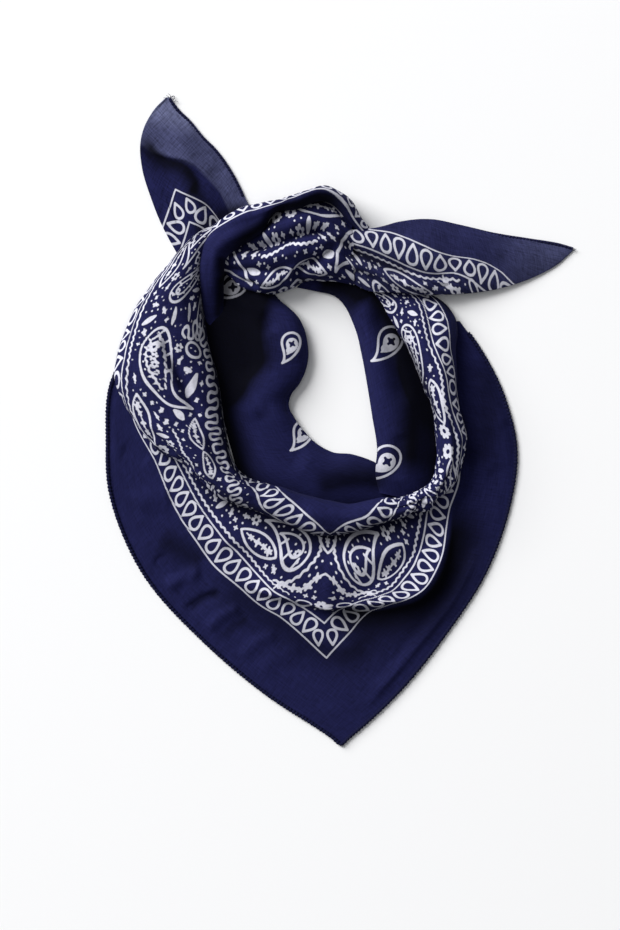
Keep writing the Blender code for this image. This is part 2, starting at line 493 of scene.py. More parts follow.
def great_paisley(length: float) -> Motif:
    """The main ornament: an outer line, a row of pearls, a scalloped line, cells on one side and flowers inside.

    Args:
        length: From the round end to the bent point.

    Returns:
        The strokes, with the round end at the origin.
    """
    width = 0.26 * length + 13
    outline = paisley_path(length, width, 0.38)
    heart = 0.30j * length
    inner = offset_path(outline, np.full(len(outline), -5.6))
    inner = inner[np.abs(inner - heart) < 0.40 * length]
    pearl = offset_path(outline, np.full(len(outline), -2.8))
    ring = heart + 0.52 * (outline - heart)
    strokes = [Stroke(outline, 1.7), scallops(inner, 4.4, 1.1, 1.5) if length > 55 else Stroke(ring, 1.4)]
    strokes += pearls(pearl[9:29], 5.0, 1.5)
    cells = finer(outline[31:42], 6.4)
    depth = offset_path(cells, np.full(len(cells), -5.6))
    strokes += [Stroke(np.array([a, b]), 1.5) for a, b in zip(cells, depth, strict=True)]
    spine = curve(0.19j * length, 0.3j * length, (-0.01 + 0.41j) * length, (-0.04 + 0.52j) * length)
    sizes = (4.4, 3.4, 3.3, 2.2) if length > 55 else (3.6, 0, 0, 0)
    for number, (place, size) in enumerate(zip(spine[[0, 5, 9, 13]], sizes, strict=True)):
        if size:
            strokes += turned(flower(size * width / 32, 6 + 2 * (number == 0), 0.28), place, 25 * number)
    return strokes


def small_paisley(length: float) -> Motif:
    """The sprig of the plain middle: an outlined paisley round a white one with a dark star.

    Args:
        length: From the round end to the point.

    Returns:
        The strokes, with the round end at the origin.
    """
    outline = paisley_path(length, 0.84 * length, -0.5)
    heart = 0.40j * length
    inner = heart + 0.52 * (outline - heart)
    fill = [Stroke(heart + k * (inner - heart), 0.2 * length) for k in (0.62, 0.3)]
    star = turned(flower(0.13 * length, 4, 0), heart - 0.03j * length, 20)
    return [Stroke(outline, 1.7), Stroke(inner, 1.0), *fill, *[Stroke(s.points, s.width, Ink.CLEAR) for s in star]]


class Drawing:
    """A drawing held as a signed distance: below zero on the ink, in millimetres from its edge."""

    def __init__(self, low: complex, high: complex, step: float) -> None:
        """An empty drawing over a rectangle, with one number every step.

        Args:
            low: Lower left corner.
            high: Upper right corner.
            step: Size of a cell.
        """
        self.low, self.step = low, step
        size = (high - low) / step
        self.gap = np.full((int(size.imag) + 2, int(size.real) + 2), 4.0, dtype=np.float32)

    def add(self, motif: Motif) -> None:
        """Draws each stroke: the distance to its nearest segment, less half its width.

        Args:
            motif: Strokes to draw, in order.
        """
        for stroke in motif:
            for start, end in zip(stroke.points[:-1], stroke.points[1:], strict=True):
                self._segment(start, end, stroke.width, stroke.ink)

    def _segment(self, start: complex, end: complex, width: float, ink: Ink) -> None:
        """Draws one straight piece in the small window that it reaches.

        Args:
            start: One end.
            end: The other end.
            width: Line width.
            ink: Whether it prints or clears.
        """
        reach = 0.5 * width + 2
        box = np.array([start.real, end.real, start.imag, end.imag])
        low = np.array([box[:2].min() - reach - self.low.real, box[2:].min() - reach - self.low.imag])
        high = np.array([box[:2].max() + reach - self.low.real, box[2:].max() + reach - self.low.imag])
        rows, columns = self.gap.shape
        left, bottom = np.clip((low / self.step).astype(int), 0, [columns, rows])
        right, top = np.clip((high / self.step).astype(int) + 1, 0, [columns, rows])
        if right <= left or top <= bottom:
            return
        x = self.low.real + self.step * np.arange(left, right)[None, :] - start.real
        y = self.low.imag + self.step * np.arange(bottom, top)[:, None] - start.imag
        dx, dy = (end - start).real, (end - start).imag
        t = np.clip((x * dx + y * dy) / (dx * dx + dy * dy + 1e-9), 0, 1)
        gap = np.hypot(x - t * dx, y - t * dy) - 0.5 * width
        window = self.gap[bottom:top, left:right]
        window[:] = np.minimum(window, gap) if ink is Ink.LAY else np.maximum(window, -gap)

    def at(self, x: Array, y: Array) -> Array:
        """The distance at each point, blended from the four nearest numbers.

        Args:
            x: First coordinates.
            y: Second coordinates.

        Returns:
            The signed distance to the ink, negative inside it.
        """
        column = np.clip((x - self.low.real) / self.step, 0, self.gap.shape[1] - 1.001)
        row = np.clip((y - self.low.imag) / self.step, 0, self.gap.shape[0] - 1.001)
        i, j = row.astype(int), column.astype(int)
        u, v = row - i, column - j
        top = self.gap[i, j] * (1 - v) + self.gap[i, j + 1] * v
        low = self.gap[i + 1, j] * (1 - v) + self.gap[i + 1, j + 1] * v
        return top * (1 - u) + low * u


@dataclass
class SquarePrint:
    """The print of the whole square, drawn once for an eighth of it and mirrored into the rest.

    The drawing's x is the distance from the nearer side across, its y the distance from the nearest side.
    """

    line: float = 1.15
    pitch: float = 10.5
    drawing: Drawing = field(init=False)

    def __post_init__(self) -> None:
        """Draws the borders and the ornament."""
        self.drawing = Drawing(0j, complex(HALF + 6, HALF + 6), 0.25)
        self._borders()
        self._corner()
        self._side()
        self._fill()
        self._middle()

    def at(self, p: Array, q: Array) -> Array:
        """The signed distance at places in the flat square, in millimetres from one corner.

        Args:
            p: Distance along one side of the square.
            q: Distance along the other.

        Returns:
            The signed distance to the ink.
        """
        across = HALF - np.abs(np.clip(p, 0, SIDE) - HALF)
        up = HALF - np.abs(np.clip(q, 0, SIDE) - HALF)
        return self.drawing.at(np.maximum(across, up), np.minimum(across, up))

    def _borders(self) -> None:
        """The two borders of drops, alternately point in and point out, each between two lines."""
        for low, wide in ((MARGIN, BAND), (MARGIN + BAND + ZONE, INNER_BAND)):
            high = low + wide
            for height, line in ((low, self.line), (high, self.line)):
                self.drawing.add([Stroke(np.array([height + height * 1j, HALF + 8 + height * 1j]), line)])
            pair = complex(low + 0.80 * wide, low + 0.38 * wide)
            self.drawing.add(turned(drop(wide * 0.62, wide * 0.54, 1.7), pair, 135))
            for number in range(int((HALF - low) / self.pitch)):
                place = complex(HALF - self.pitch * (number + 0.5), low + 0.5 * wide)
                if place.real > low + 0.95 * wide:
                    shape = drop(wide * 0.72, wide * 0.64, 1.85)
                    self.drawing.add(turned(shape, place, 180 * (number % 2) + 7))

    @staticmethod
    def _corner_place(across: float, inwards: float) -> complex:
        """A place measured from the inner corner of the outer border: off the diagonal, and along it.

        Args:
            across: Off the diagonal.
            inwards: Along the diagonal.

        Returns:
            The place in the drawing.
        """
        start = MARGIN + BAND
        root = math.sqrt(0.5)
        return complex(start + (inwards + across) * root, start + (inwards - across) * root)

    def _corner(self) -> None:
        """The ornament at each corner, mirrored about the diagonal: flower, chevron, paisley, leaf and curls."""
        place, add = self._corner_place, self.drawing.add
        add(turned(flower(5.4, 8, 0.25), place(0, 16)))
        add([Stroke(place(13, 18) + np.exp(-0.6j) * oval(5.6, 2.8), 1.5)])
        chevron = [place(across, 34 + 3.4 * math.cos(across * math.pi / 13)) for across in np.linspace(0, 32, 8)]
        add(chain(np.array(chevron), 2.9))
        add(turned(great_paisley(42), place(17, 44), -58, 1, True))
        rim = place(21, 55)
        add([scallops(arc(rim, 17.5, 118, 262), 4.4, 1.2, 1.6)])
        add(turned(leaf(32, 12.5, 1.5), place(0, 66), -45))
        add(turned(spiral(7.6, 1.6, 1.6), place(15, 82), -40))
        add(turned(flower(5.0, 7, 0.3), place(0, 97)))
        add(pearls(arc(place(0, 97), 8.6, -45, 135), 4.4, 1.5))

    def _side(self) -> None:
        """The ornament along each side: paisleys, leaves, a wave that ends round a ring, scallops and stars."""
        add = self.drawing.add
        border = np.array([98 + 66.6j, 276 + 66.6j])
        add([scallops(border, 4.8, 1.3, 1.4)])
        add(turned(great_paisley(63), 187 + 85j, -85))
        add(turned(great_paisley(42), 171 + 90j, 28))
        add(turned(leaf(34, 12, 1.5), 141 + 77j, 84))
        add(turned(leaf(36, 12.5, 1.6), 246 + 75j, 88))
        add(turned(flower(4.8, 8, 0.3), 269 + 77j))
        # the wave beside the inner border, which curls round a ring
        centre = 207 + 115j
        wave = np.concatenate([np.linspace(276 + 129j, 210 + 129j, 20), arc(centre, 14, 84, 215)])
        add([squiggle(wave, 9.0, 5.2, 2.0)])
        add([Stroke(centre + np.exp(0.4j) * oval(6.6, 4.6), 1.9)])
        # between the wave and the paisley
        add(turned(leaf(24, 10, 1.5), 262 + 114j, 84))
        add(turned(white_leaf(11, 5.2), 229 + 113j, 62))
        add(turned(white_leaf(9, 4.2), 245 + 104j, -58))
        add([scallops(arc(262 + 62j, 37, 64, 104), 4.4, 1.3, 1.5)])
        add(knots(np.linspace(141 + 99j, 158 + 115j, 4), 2.4))
        # towards the inner corner
        add(chain(np.array([x + 1j * (137.5 + 1.2 * math.cos(x)) for x in range(158, 200, 6)]), 3.3))
        add(turned(leaf(26, 10, 1.5), 186 + 126.5j, 74))
        add(turned(white_leaf(12, 6), 152 + 128j, 20))

    def _free(self, place: complex, radius: float) -> bool:
        """Whether a disc lies clear of the ink, of the borders and of the mirror lines.

        Args:
            place: The centre.
            radius: The disc to keep clear.

        Returns:
            Whether it is clear.
        """
        ring = place + radius * np.exp(2j * np.pi * np.arange(12) / 12)
        spots = np.append(ring, place)
        inside = MARGIN + BAND + radius + 1 < place.imag < MARGIN + BAND + ZONE - radius - 1
        lines = place.real - place.imag > 1.5 * radius + 0.8 and HALF - place.real > radius + 0.6
        return inside and lines and bool(self.drawing.at(spots.real, spots.imag).min() > 0.75)

    def _fill(self) -> None:
        """Stars, small flowers and dots wherever the ornament leaves room: places on a slanted lattice, large first."""
        kinds = (
            (4.6, turned(white_leaf(8.6, 3.6), 0, 60), 0.62),
            (3.9, flower(3.8, 6, 0.3), 0.45),
            (2.9, turned(chain(np.array([-3, -1, 1, 3]) + 0j, 1.8), 0, 0), 0.2),
            (1.9, flower(1.9, 4, 0), 0.3),
            (0.9, [dot(0, 1.5)], -0.1),
        )
        for number, (radius, motif, rare) in enumerate(kinds):
            for row, height in enumerate(np.arange(65.5, 142, 1.9 + 0.4 * radius)):
                for across in np.arange(68 + 2.1 * (row % 2), HALF, 2.1 + 0.5 * radius):
                    place = complex(across, height + 0.7 * math.sin(0.31 * across))
                    chosen = math.sin(1.7 * across + 2.9 * height + number) > rare
                    if chosen and self._free(place, radius + 0.5):
                        self.drawing.add(turned(motif, place, 47 * row + 31 * number))

    def _middle(self) -> None:
        """The sprigs of the plain middle."""
        for place, turn in ((222 + 215j, 200), (262 + 226j, 75)):
            self.drawing.add(turned(small_paisley(19), complex(place), turn))


@dataclass
class NeckPrint:
    """The sprigs of one neck band, placed one by one where it shows its face."""

    sprigs: Table  # x, y, turn, length, mirrored
    drawing: Drawing = field(init=False)

    def __post_init__(self) -> None:
        """Draws each sprig."""
        self.drawing = Drawing(-120 - 90j, 90 + 130j, 0.25)
        for x, y, turn, length, mirrored in self.sprigs:
            self.drawing.add(turned(small_paisley(length), complex(x, y), turn, 1, bool(mirrored)))


# ---------------------------------------------------------------- meshes


@dataclass
class Sheet:
    """A grid of cloth: its points, their places in the flat square, its print, its thinness, which pales the colour as
    painted light through a single layer, and its painted shade.
    """

    points: Array
    flat: Array
    ink: Array
    thin: Array | None = None
    painted_shade: Array | None = None

    def cut(self) -> tuple[float, float, float]:
        """Width, length and area of this stretch in the flat square, in metres.

        The area is the sum of the flat quads, each half the cross product of its diagonals; the width and the
        length are those of the longest row and column of the grid.

        Returns:
            The width, the length and the area.
        """
        flat = self.flat * MM
        one, two = flat[1:, 1:] - flat[:-1, :-1], flat[:-1, 1:] - flat[1:, :-1]
        area = 0.5 * np.abs(one[..., 0] * two[..., 1] - one[..., 1] * two[..., 0]).sum()
        width = np.linalg.norm(np.diff(flat, axis=1), axis=2).sum(axis=1).max()
        length = np.linalg.norm(np.diff(flat, axis=0), axis=2).sum(axis=0).max()
        return float(width), float(length), float(area)

    def make(self, name: str, material: bpy.types.Material, held: Held) -> bpy.types.Object:
        """Makes the mesh, with the flat place as its UV map and the print as an attribute, and logs the size of its
        cut.

        Args:
            name: The piece's name.
            material: Its finish.
            held: How it lies; not used.

        Returns:
            The new object.
        """
        rows, columns = self.points.shape[:2]
        corner = np.arange(rows * columns).reshape(rows, columns)
        quads = np.stack([corner[:-1, :-1], corner[1:, :-1], corner[1:, 1:], corner[:-1, 1:]], axis=-1)
        quads = quads.reshape(-1, 4)
        a, b, c = (self.points.reshape(-1, 3)[quads[:, k]] for k in (0, 1, 3))
        if np.cross(b - a, c - a)[:, 2].mean() < 0:
            quads = quads[:, ::-1]
        mesh = fill_mesh(name, self.points.reshape(-1, 3), quads)
        layer = mesh.uv_layers.new(name="flat")
        layer.data.foreach_set("uv", (self.flat.reshape(-1, 2)[quads.ravel()] / SIDE).astype(np.float32).ravel())
        # Attributes: the print, the thinness that paints light through a single layer, and the painted shade.
        for label, values in (("ink", self.ink), ("thin", self.thin), ("painted_shade", self.painted_shade)):
            if values is not None:
                mesh.attributes.new(label, "FLOAT", "POINT").data.foreach_set(
                    "value", values.astype(np.float32).ravel()
                )
        mesh.materials.append(material)
        item = bpy.data.objects.new(name, mesh)
        bpy.context.scene.collection.objects.link(item)
        width, length, area = self.cut()
        LOG.info("%s: flat %.4f x %.4f m, %.5f square metres; shaped %.5f", name, width, length, area, area_of(item))
        return item


def area_of(piece: bpy.types.Object) -> float:
    """The area of a piece's mesh in square metres.

    Args:
        piece: The sheet object.

    Returns:
        Its area in square metres.
    """
    areas = np.empty(len(piece.data.polygons), dtype=np.float32)
    piece.data.polygons.foreach_get("area", areas)
    return float(areas.sum())


def fill_mesh(name: str, points: Array, quads: Array) -> bpy.types.Mesh:
    """A smooth mesh from points in millimetres and four-sided faces.

    Args:
        name: Name of the mesh.
        points: Its points in millimetres.
        quads: Point numbers of each face.

    Returns:
        The new mesh.
    """
    mesh = bpy.data.meshes.new(name)
    mesh.vertices.add(len(points))
    mesh.vertices.foreach_set("co", (points * MM).astype(np.float32).ravel())
    mesh.loops.add(quads.size)
    mesh.loops.foreach_set("vertex_index", quads.astype(np.int32).ravel())
    mesh.polygons.add(len(quads))
    mesh.polygons.foreach_set("loop_start", np.arange(0, quads.size, 4, dtype=np.int32))
    mesh.polygons.foreach_set("loop_total", np.full(len(quads), 4, dtype=np.int32))
    mesh.polygons.foreach_set("use_smooth", np.ones(len(quads), dtype=bool))
    mesh.update(calc_edges=True)
    mesh.validate()
    return mesh


def unrolled(points: Array) -> Array:
    """Flat places of a grid of plain cloth: the distances along its two directions, each summed from its edge.

    Args:
        points: A grid of points.

    Returns:
        Flat p and q at each point.
    """
    along = np.linalg.norm(np.diff(points, axis=0, prepend=points[:1]), axis=2).cumsum(axis=0)
    across = np.linalg.norm(np.diff(points, axis=1, prepend=points[:, :1]), axis=2).cumsum(axis=1)
    return np.stack([170 + along, 190 + across], axis=2)


def painted_hollow_shade(points: Array, paths: Sequence[Crease]) -> Array:
    """Painted shade at each point, from 0 to 1: the sum of bells along the paths where shade is painted into the
    colour.
    """
    total = sum(path.lift(points[..., 0], points[..., 1]) for path in paths)
    return np.clip(total, 0, 1)


def displaced(points: Array, creases: Sequence[Crease], extra: Array | float = 0.0) -> Array:
    """A surface moved along its normals by its creases and by an extra height, but not below the table.

    Args:
        points: A grid of points.
        creases: Creases to press in.
        extra: Height to add everywhere.

    Returns:
        The moved points.
    """
    height = np.zeros(points.shape[:2]) + extra
    for crease in creases:
        height = height + crease.lift(points[..., 0], points[..., 1])
    moved = points + normals(points) * height[..., None]
    moved[..., 2] = np.maximum(moved[..., 2], 0.25)
    return moved


# ---------------------------------------------------------------- finishes


class Value:
    """A number, colour or vector that flows through a material's nodes, with the usual operators."""

    def __init__(self, tree: "Nodes", socket: bpy.types.NodeSocket) -> None:
        """Wraps an output socket."""
        self.tree, self.socket = tree, socket

    def _math(self, operation: str, *values: Any) -> "Value":
        """A Math node on these values, in order."""
        return self.tree.add("ShaderNodeMath", dict(enumerate(values)), operation=operation)

    def __add__(self, other: Any) -> "Value":
        """Sum."""
        return self._math("ADD", self, other)

    def __radd__(self, other: Any) -> "Value":
        """Sum, from the right."""
        return self._math("ADD", other, self)

    def __sub__(self, other: Any) -> "Value":
        """Difference."""
        return self._math("SUBTRACT", self, other)

    def __rsub__(self, other: Any) -> "Value":
        """Difference, from the right."""
        return self._math("SUBTRACT", other, self)

    def __mul__(self, other: Any) -> "Value":
        """Product."""
        return self._math("MULTIPLY", self, other)

    def __rmul__(self, other: Any) -> "Value":
        """Product, from the right."""
        return self._math("MULTIPLY", other, self)

    def __truediv__(self, other: Any) -> "Value":
        """Quotient."""
        return self._math("DIVIDE", self, other)

    def sine(self) -> "Value":
        """Sine of an angle in radians."""
        return self._math("SINE", self)

    def within(self) -> "Value":
        """The value held between 0 and 1."""
        floor = self._math("MAXIMUM", 0.0, self)
        return self._math("MINIMUM", 1.0, floor)

    def __pow__(self, other: Any) -> "Value":
        """Power."""
        return self._math("POWER", self, other)


class Nodes:
    """A new material's node tree, and the one way in which nodes are added to it."""

    def __init__(self, name: str) -> None:
        """Makes the material with its Principled shader.

        Args:
            name: Name of the material.
        """
        self.material = bpy.data.materials.new(name)
        self.material.use_nodes = True
        self.tree = self.material.node_tree
        self.shader = self.tree.nodes["Principled BSDF"]

    def add(self, kind: str, inputs: dict[Any, Any] | None = None, output: Any = 0, **settings: Any) -> Value:
        """Adds a node.

        Args:
            kind: The node's type.
            inputs: Values or links by socket name or number.
            output: The socket to return, by name or number.
            settings: The node's own settings, set before its sockets.

        Returns:
            The chosen output.
        """
        node = self.tree.nodes.new(kind)
        for key, setting in settings.items():
            setattr(node, key, setting)
        for key, value in (inputs or {}).items():
            if isinstance(value, Value):
                self.tree.links.new(value.socket, node.inputs[key])
            else:
                node.inputs[key].default_value = value
        return Value(self, node.outputs[output])

    def mix(self, share: Any, first: Any, second: Any) -> Value:
        """A colour between two others."""
        return self.add("ShaderNodeMix", {0: share, 6: first, 7: second}, 2, data_type="RGBA")

    def feed(self, socket: str, value: Any) -> None:
        """Sets or links one socket of the shader.

        Args:
            socket: Name of the input.
            value: A constant, or the output that drives it.
        """
        if isinstance(value, Value):
            self.tree.links.new(value.socket, self.shader.inputs[socket])
        else:
            self.shader.inputs[socket].default_value = value


def rgb(red: float, green: float, blue: float) -> tuple[float, float, float, float]:
    """An opaque colour."""
    return (red, green, blue, 1.0)


@dataclass(frozen=True)
class PrintedCotton:
    """Dyed plain-weave cotton with white ink: navy threads, an ink that lets some thread colour through."""

    name: str = "navy_cotton"
    dye: tuple[float, float, float] = (0.0112, 0.0122, 0.058)
    # Painted light: a paler navy for one layer of cloth, standing in for the table's light shining through.
    painted_light_through: tuple[float, float, float] = (0.125, 0.135, 0.245)
    ink: tuple[float, float, float] = (0.68, 0.68, 0.77)
    threads: float = 1500.0  # to the side of the square
    streaks: float = 0.95
    # Whether the colour pales with the thin attribute, which paints light through a single layer.
    thin: bool = False

    def make(self) -> bpy.types.Material:
        """Makes the material.

        Returns:
            The material: base colour, roughness and bump follow the weave and the print; the base colour also carries
                painted shade and, where the cloth is one layer, painted light.
        """
        nodes = Nodes(self.name)
        flat = nodes.add("ShaderNodeUVMap", {}, 0, uv_map="flat")
        split = nodes.add("ShaderNodeSeparateXYZ", {0: flat}, "X")
        p, q = (Value(nodes, split.socket.node.outputs[k]) for k in ("X", "Y"))
        warp = (p * (math.pi * self.threads)).sine()
        weft = (q * (math.pi * self.threads)).sine()
        weave = (warp * weft + 1.0) * 0.5
        slub = nodes.add("ShaderNodeTexNoise", {"Vector": flat, "Scale": 260.0, "Detail": 4.0, "Roughness": 0.7}, "Fac")
        inputs = {"Vector": flat, "Scale": 22.0, "Detail": 3.0, "Roughness": 0.55}
        cloud = nodes.add("ShaderNodeTexNoise", inputs, "Fac")
        streak = 0.0
        for stretch in ((560.0, 46.0, 1.0), (46.0, 560.0, 1.0)):
            long = nodes.add("ShaderNodeVectorMath", {0: flat, 1: stretch}, 0, operation="MULTIPLY")
            inputs = {"Vector": long, "Scale": 1.0, "Detail": 3.0, "Roughness": 0.6}
            threads = nodes.add("ShaderNodeTexNoise", inputs, "Fac")
            streak = streak + (threads - 0.5)
        tone = 0.84 + 0.16 * weave + 0.5 * (slub - 0.5) + 0.30 * (cloud - 0.5) + self.streaks * streak
        # Painted shade: the cloth colour darkens by up to 93 percent where the shade attribute is high.
        painted_shade_factor = 1.0 - 0.93 * nodes.add("ShaderNodeAttribute", {}, "Fac", attribute_name="painted_shade")
        tone = tone * painted_shade_factor
        dye = nodes.add("ShaderNodeVectorMath", {0: self.dye, "Scale": tone}, 0, operation="SCALE")
        # Painted light: where the thin attribute is high, the colour pales towards the lighter navy.
        if self.thin:
            share = nodes.add("ShaderNodeAttribute", {}, "Fac", attribute_name="thin")
            pale = nodes.add("ShaderNodeVectorMath", {0: self.painted_light_through, "Scale": tone}, 0, operation="SCALE")
            dye = nodes.mix(share.within(), dye, pale)
        gap = nodes.add("ShaderNodeAttribute", {}, "Fac", attribute_name="ink")
        edge = gap + 0.6 * (slub - 0.5)
        mask = (0.5 - edge * 3.2).within()
        # The ink varies with slub, weave and streaks, and is darkened by the painted shade.
        ink_wear_and_painted_shade = (0.80 + 0.5 * (slub - 0.5) + 0.10 * weave + 0.25 * streak) * (0.25 + 0.75 * painted_shade_factor)
        white = nodes.add("ShaderNodeVectorMath", {0: self.ink, "Scale": ink_wear_and_painted_shade}, 0, operation="SCALE")
        nodes.feed("Base Color", nodes.mix(mask, dye, white))
        nodes.feed("Roughness", 0.86 + 0.1 * (slub - 0.5))
        height = 0.5 * weave + 0.8 * slub + 0.35 * mask
        bump = nodes.add("ShaderNodeBump", {"Height": height, "Strength": 0.35, "Distance": 0.00012}, "Normal")
        nodes.feed("Normal", bump)
        nodes.feed("Sheen Weight", 0.022)
        nodes.feed("Sheen Roughness", 0.5)
        nodes.feed("Sheen Tint", rgb(0.5, 0.53, 0.8))
        nodes.feed("Specular IOR Level", 0.06)
        return nodes.material


@dataclass(frozen=True)
class HemThread:
    """Navy sewing thread, wound tightly over the edge."""

    name: str = "navy_thread"
    colour: tuple[float, float, float] = (0.0062, 0.0068, 0.030)

    def make(self) -> bpy.types.Material:
        """Makes the material, with a slight change of tone from fibre to fibre.

        Returns:
            The new material.
        """
        nodes = Nodes(self.name)
        place = nodes.add("ShaderNodeTexCoord", {}, "Object")
        fibre = nodes.add("ShaderNodeTexNoise", {"Vector": place, "Scale": 2600.0, "Detail": 3.0}, "Fac")
        tone = 0.55 + 0.95 * fibre
        shade = nodes.add("ShaderNodeVectorMath", {0: self.colour, "Scale": tone}, 0, operation="SCALE")
        nodes.feed("Base Color", shade)
        nodes.feed("Roughness", 0.7 + 0.2 * fibre)
        bump = nodes.add("ShaderNodeBump", {"Height": fibre, "Strength": 0.4, "Distance": 0.0002}, "Normal")
        nodes.feed("Normal", bump)
        nodes.feed("Specular IOR Level", 0.08)
        return nodes.material


@dataclass(frozen=True)
class TableTop:
    """A matt white table."""

    name: str = "white_table"
    colour: tuple[float, float, float] = (0.93, 0.93, 0.935)

    def make(self) -> bpy.types.Material:
        """Makes the material.

        Returns:
            The new material.
        """
        nodes = Nodes(self.name)
        nodes.feed("Base Color", rgb(*self.colour))
        nodes.feed("Roughness", 0.75)
        return nodes.material


# ---------------------------------------------------------------- the cloth


@dataclass
class Roll:
    """The rolled stretch: it leaves the knot, runs down the left, round the front and up the right."""

    ink: SquarePrint
    rows: Table = (
        # outer x, y, inner x, y, crest z, base z, flat outer p, q, flat inner p, q, pleat depth
        (-55, 156, -63, 131, 24, 3.0, 476, 62, 436, 128, 0.8),
        (-107, 131, -92, 126, 19, 2.0, 436, 60, 412, 130, 0.7),
        (-125, 110, -98, 109, 22, 1.6, 412, 46, 394, 132, 0.4),
        (-143, 87, -99, 93, 26, 1.6, 390, 40, 376, 138, 0.2),
        (-155.5, 62, -94, 62, 28, 1.6, 366, 40, 350, 142, 0.1),
        (-162, 33, -87, 29, 28, 1.8, 338, 46, 320, 145, 0.2),
        (-143, -6.5, -82, -4, 27, 1.8, 302, 58, 290, 150, 0.5),
        (-116, -29.5, -74, -32, 25, 2.2, 268, 70, 258, 153, 0.9),
        (-89, -53, -61, -43, 23, 3, 235, 102, 238, 158, 1.0),
        (-55, -67, -39, -49, 22, 5.6, 200, 133, 216, 168, 0.6),
        (-28, -78.5, -25, -53, 22, 5.8, 172, 141, 200, 175, 0.3),
        (-6.5, -83, -8, -57, 21, 5.8, 151, 151, 186, 186, 0.3),
        (12, -79, 9.4, -59, 21, 5.8, 143, 171, 177, 203, 0.3),
        (33, -73, 28, -56, 22, 5.8, 139, 193, 168, 220, 0.6),
        (60.5, -64, 46, -54, 23, 5.0, 104, 215, 150, 236, 1.1),
        (81, -48, 65, -45, 24, 2.6, 58, 236, 118, 252, 1.1),
        (92, -15, 70, -13.7, 26, 1.8, 44, 270, 100, 280, 0.7),
        (85.7, 15, 63, 18, 27, 1.8, 36, 300, 100, 312, 0.5),
        (85, 51, 51, 48, 24, 1.8, 24, 336, 104, 344, 0.4),
        (83.5, 74, 40, 66, 18, 1.8, 24, 359, 108, 362, 0.4),
        (72.7, 88, 31, 82, 10, 1.8, 34, 377, 114, 380, 0.4),
        (52, 99, 22, 93, 7, 1.8, 42, 400, 118, 394, 0.3),
    )
    # name, first row, last row, points along, CAD nodes
    pieces: tuple[tuple[str, float, float, int, tuple[str, ...]], ...] = (
        ("band_left", 0, 6, 340, ("roll_left_top", "roll_left_upper", "roll_left_lower")),
        ("band_front", 6, 14, 330, ("roll_front_left", "roll_front", "roll_front_right")),
        ("band_right", 14, 21, 270, ("roll_right", "roll_right_top")),
    )
    creases: tuple[Crease, ...] = (
        Crease(((-127, 66), (-122, 52), (-114, 36), (-106, 16), (-98, -4)), -3.4, 3.0, 5.0),
        Crease(((-132, 60), (-128, 46), (-121, 30), (-113, 12)), 1.4, 6.0, 4.0),
        Crease(((-112, 98), (-104, 80), (-98, 58), (-92, 34)), -2.0, 6.0, 5.0),
        Crease(((-150, 44), (-146, 20), (-130, 0), (-110, -18)), -1.8, 4.0, 4.0),
        Crease(((-96, -10), (-84, -28), (-66, -44), (-46, -56)), -2.6, 3.0, 4.0),
        Crease(((-122, -14), (-104, -30), (-80, -46), (-56, -58)), 1.6, 4.0, 3.0),
        Crease(((-30, -62), (-10, -68), (10, -67), (34, -62)), 1.4, 5.0, 5.0),
        Crease(((26, -64), (46, -62), (64, -56), (78, -44)), -2.4, 2.6, 3.4),
        Crease(((72, -50), (82, -36), (84, -16), (80, 4)), -2.6, 2.6, 3.0),
        Crease(((78, 0), (74, 20), (72, 40), (66, 58)), 1.4, 4.0, 5.0),
        Crease(((66, -10), (66, 4), (62, 20)), -2.0, 2.4, 2.4),
        Crease(((60, 88), (66, 72), (66, 54), (72, 36)), -1.8, 5.0, 4.0),
        Crease(((-140, -3), (-122, -20), (-102, -40), (-82, -57)), -2.2, 2.6, 2.6),
        Crease(((-134, -12), (-126, -22), (-112, -27)), 1.6, 2.2, 2.2),
        Crease(((-112, -36), (-100, -38), (-90, -48)), 1.6, 2.2, 2.2),
        Crease(((-127, 60), (-119, 42), (-111, 26), (-102, 11)), -2.6, 2.2, 2.6),
        Crease(((48, -73), (58, -62), (62, -50)), -2.2, 2.0, 2.4),
        Crease(((57, -69), (67, -58), (71, -44)), 1.8, 2.4, 2.0),
        Crease(((65, -63), (75, -50), (79, -34)), -2.2, 2.0, 2.4),
    )
    # Painted shade: paths where the colour darkens, along the roll's feet and under the knot.
    painted_shades: tuple[Crease, ...] = (
        Crease(((-96, 116), (-99, 96), (-94, 64), (-87, 30), (-82, -4), (-74, -32), (-60, -46), (-40, -54)), 0.8, 4, 4),
        Crease(
            ((-104, -40), (-80, -56), (-54, -68), (-28, -79),
             (-6, -83), (14, -79), (36, -73), (62, -63)),
            0.7, 3, 4,
        ),
        Crease(((70, -14), (63, 18), (52, 46), (40, 64), (32, 80)), 0.8, 3, 3),
        Crease(((-60, 158), (-90, 142), (-108, 130), (-124, 112)), 0.6, 4, 4),
        Crease(((84, 76), (74, 92), (60, 100)), 0.7, 6, 6),
    )
    columns: int = 96
    roundness: float = 0.82

    def make(self, cotton: bpy.types.Material) -> list[bpy.types.Object]:
        """Builds the three stretches.

        Args:
            cotton: The printed finish.

        Returns:
            The new pieces.
        """
        made = []
        for name, first, last, count, nodes in self.pieces:
            row = even_rows(self.rows, first, last, count)
            item = self.sheet(row).make(name, cotton, Held.FOLDED)
            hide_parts(*nodes)
            made.append(item)
        return made

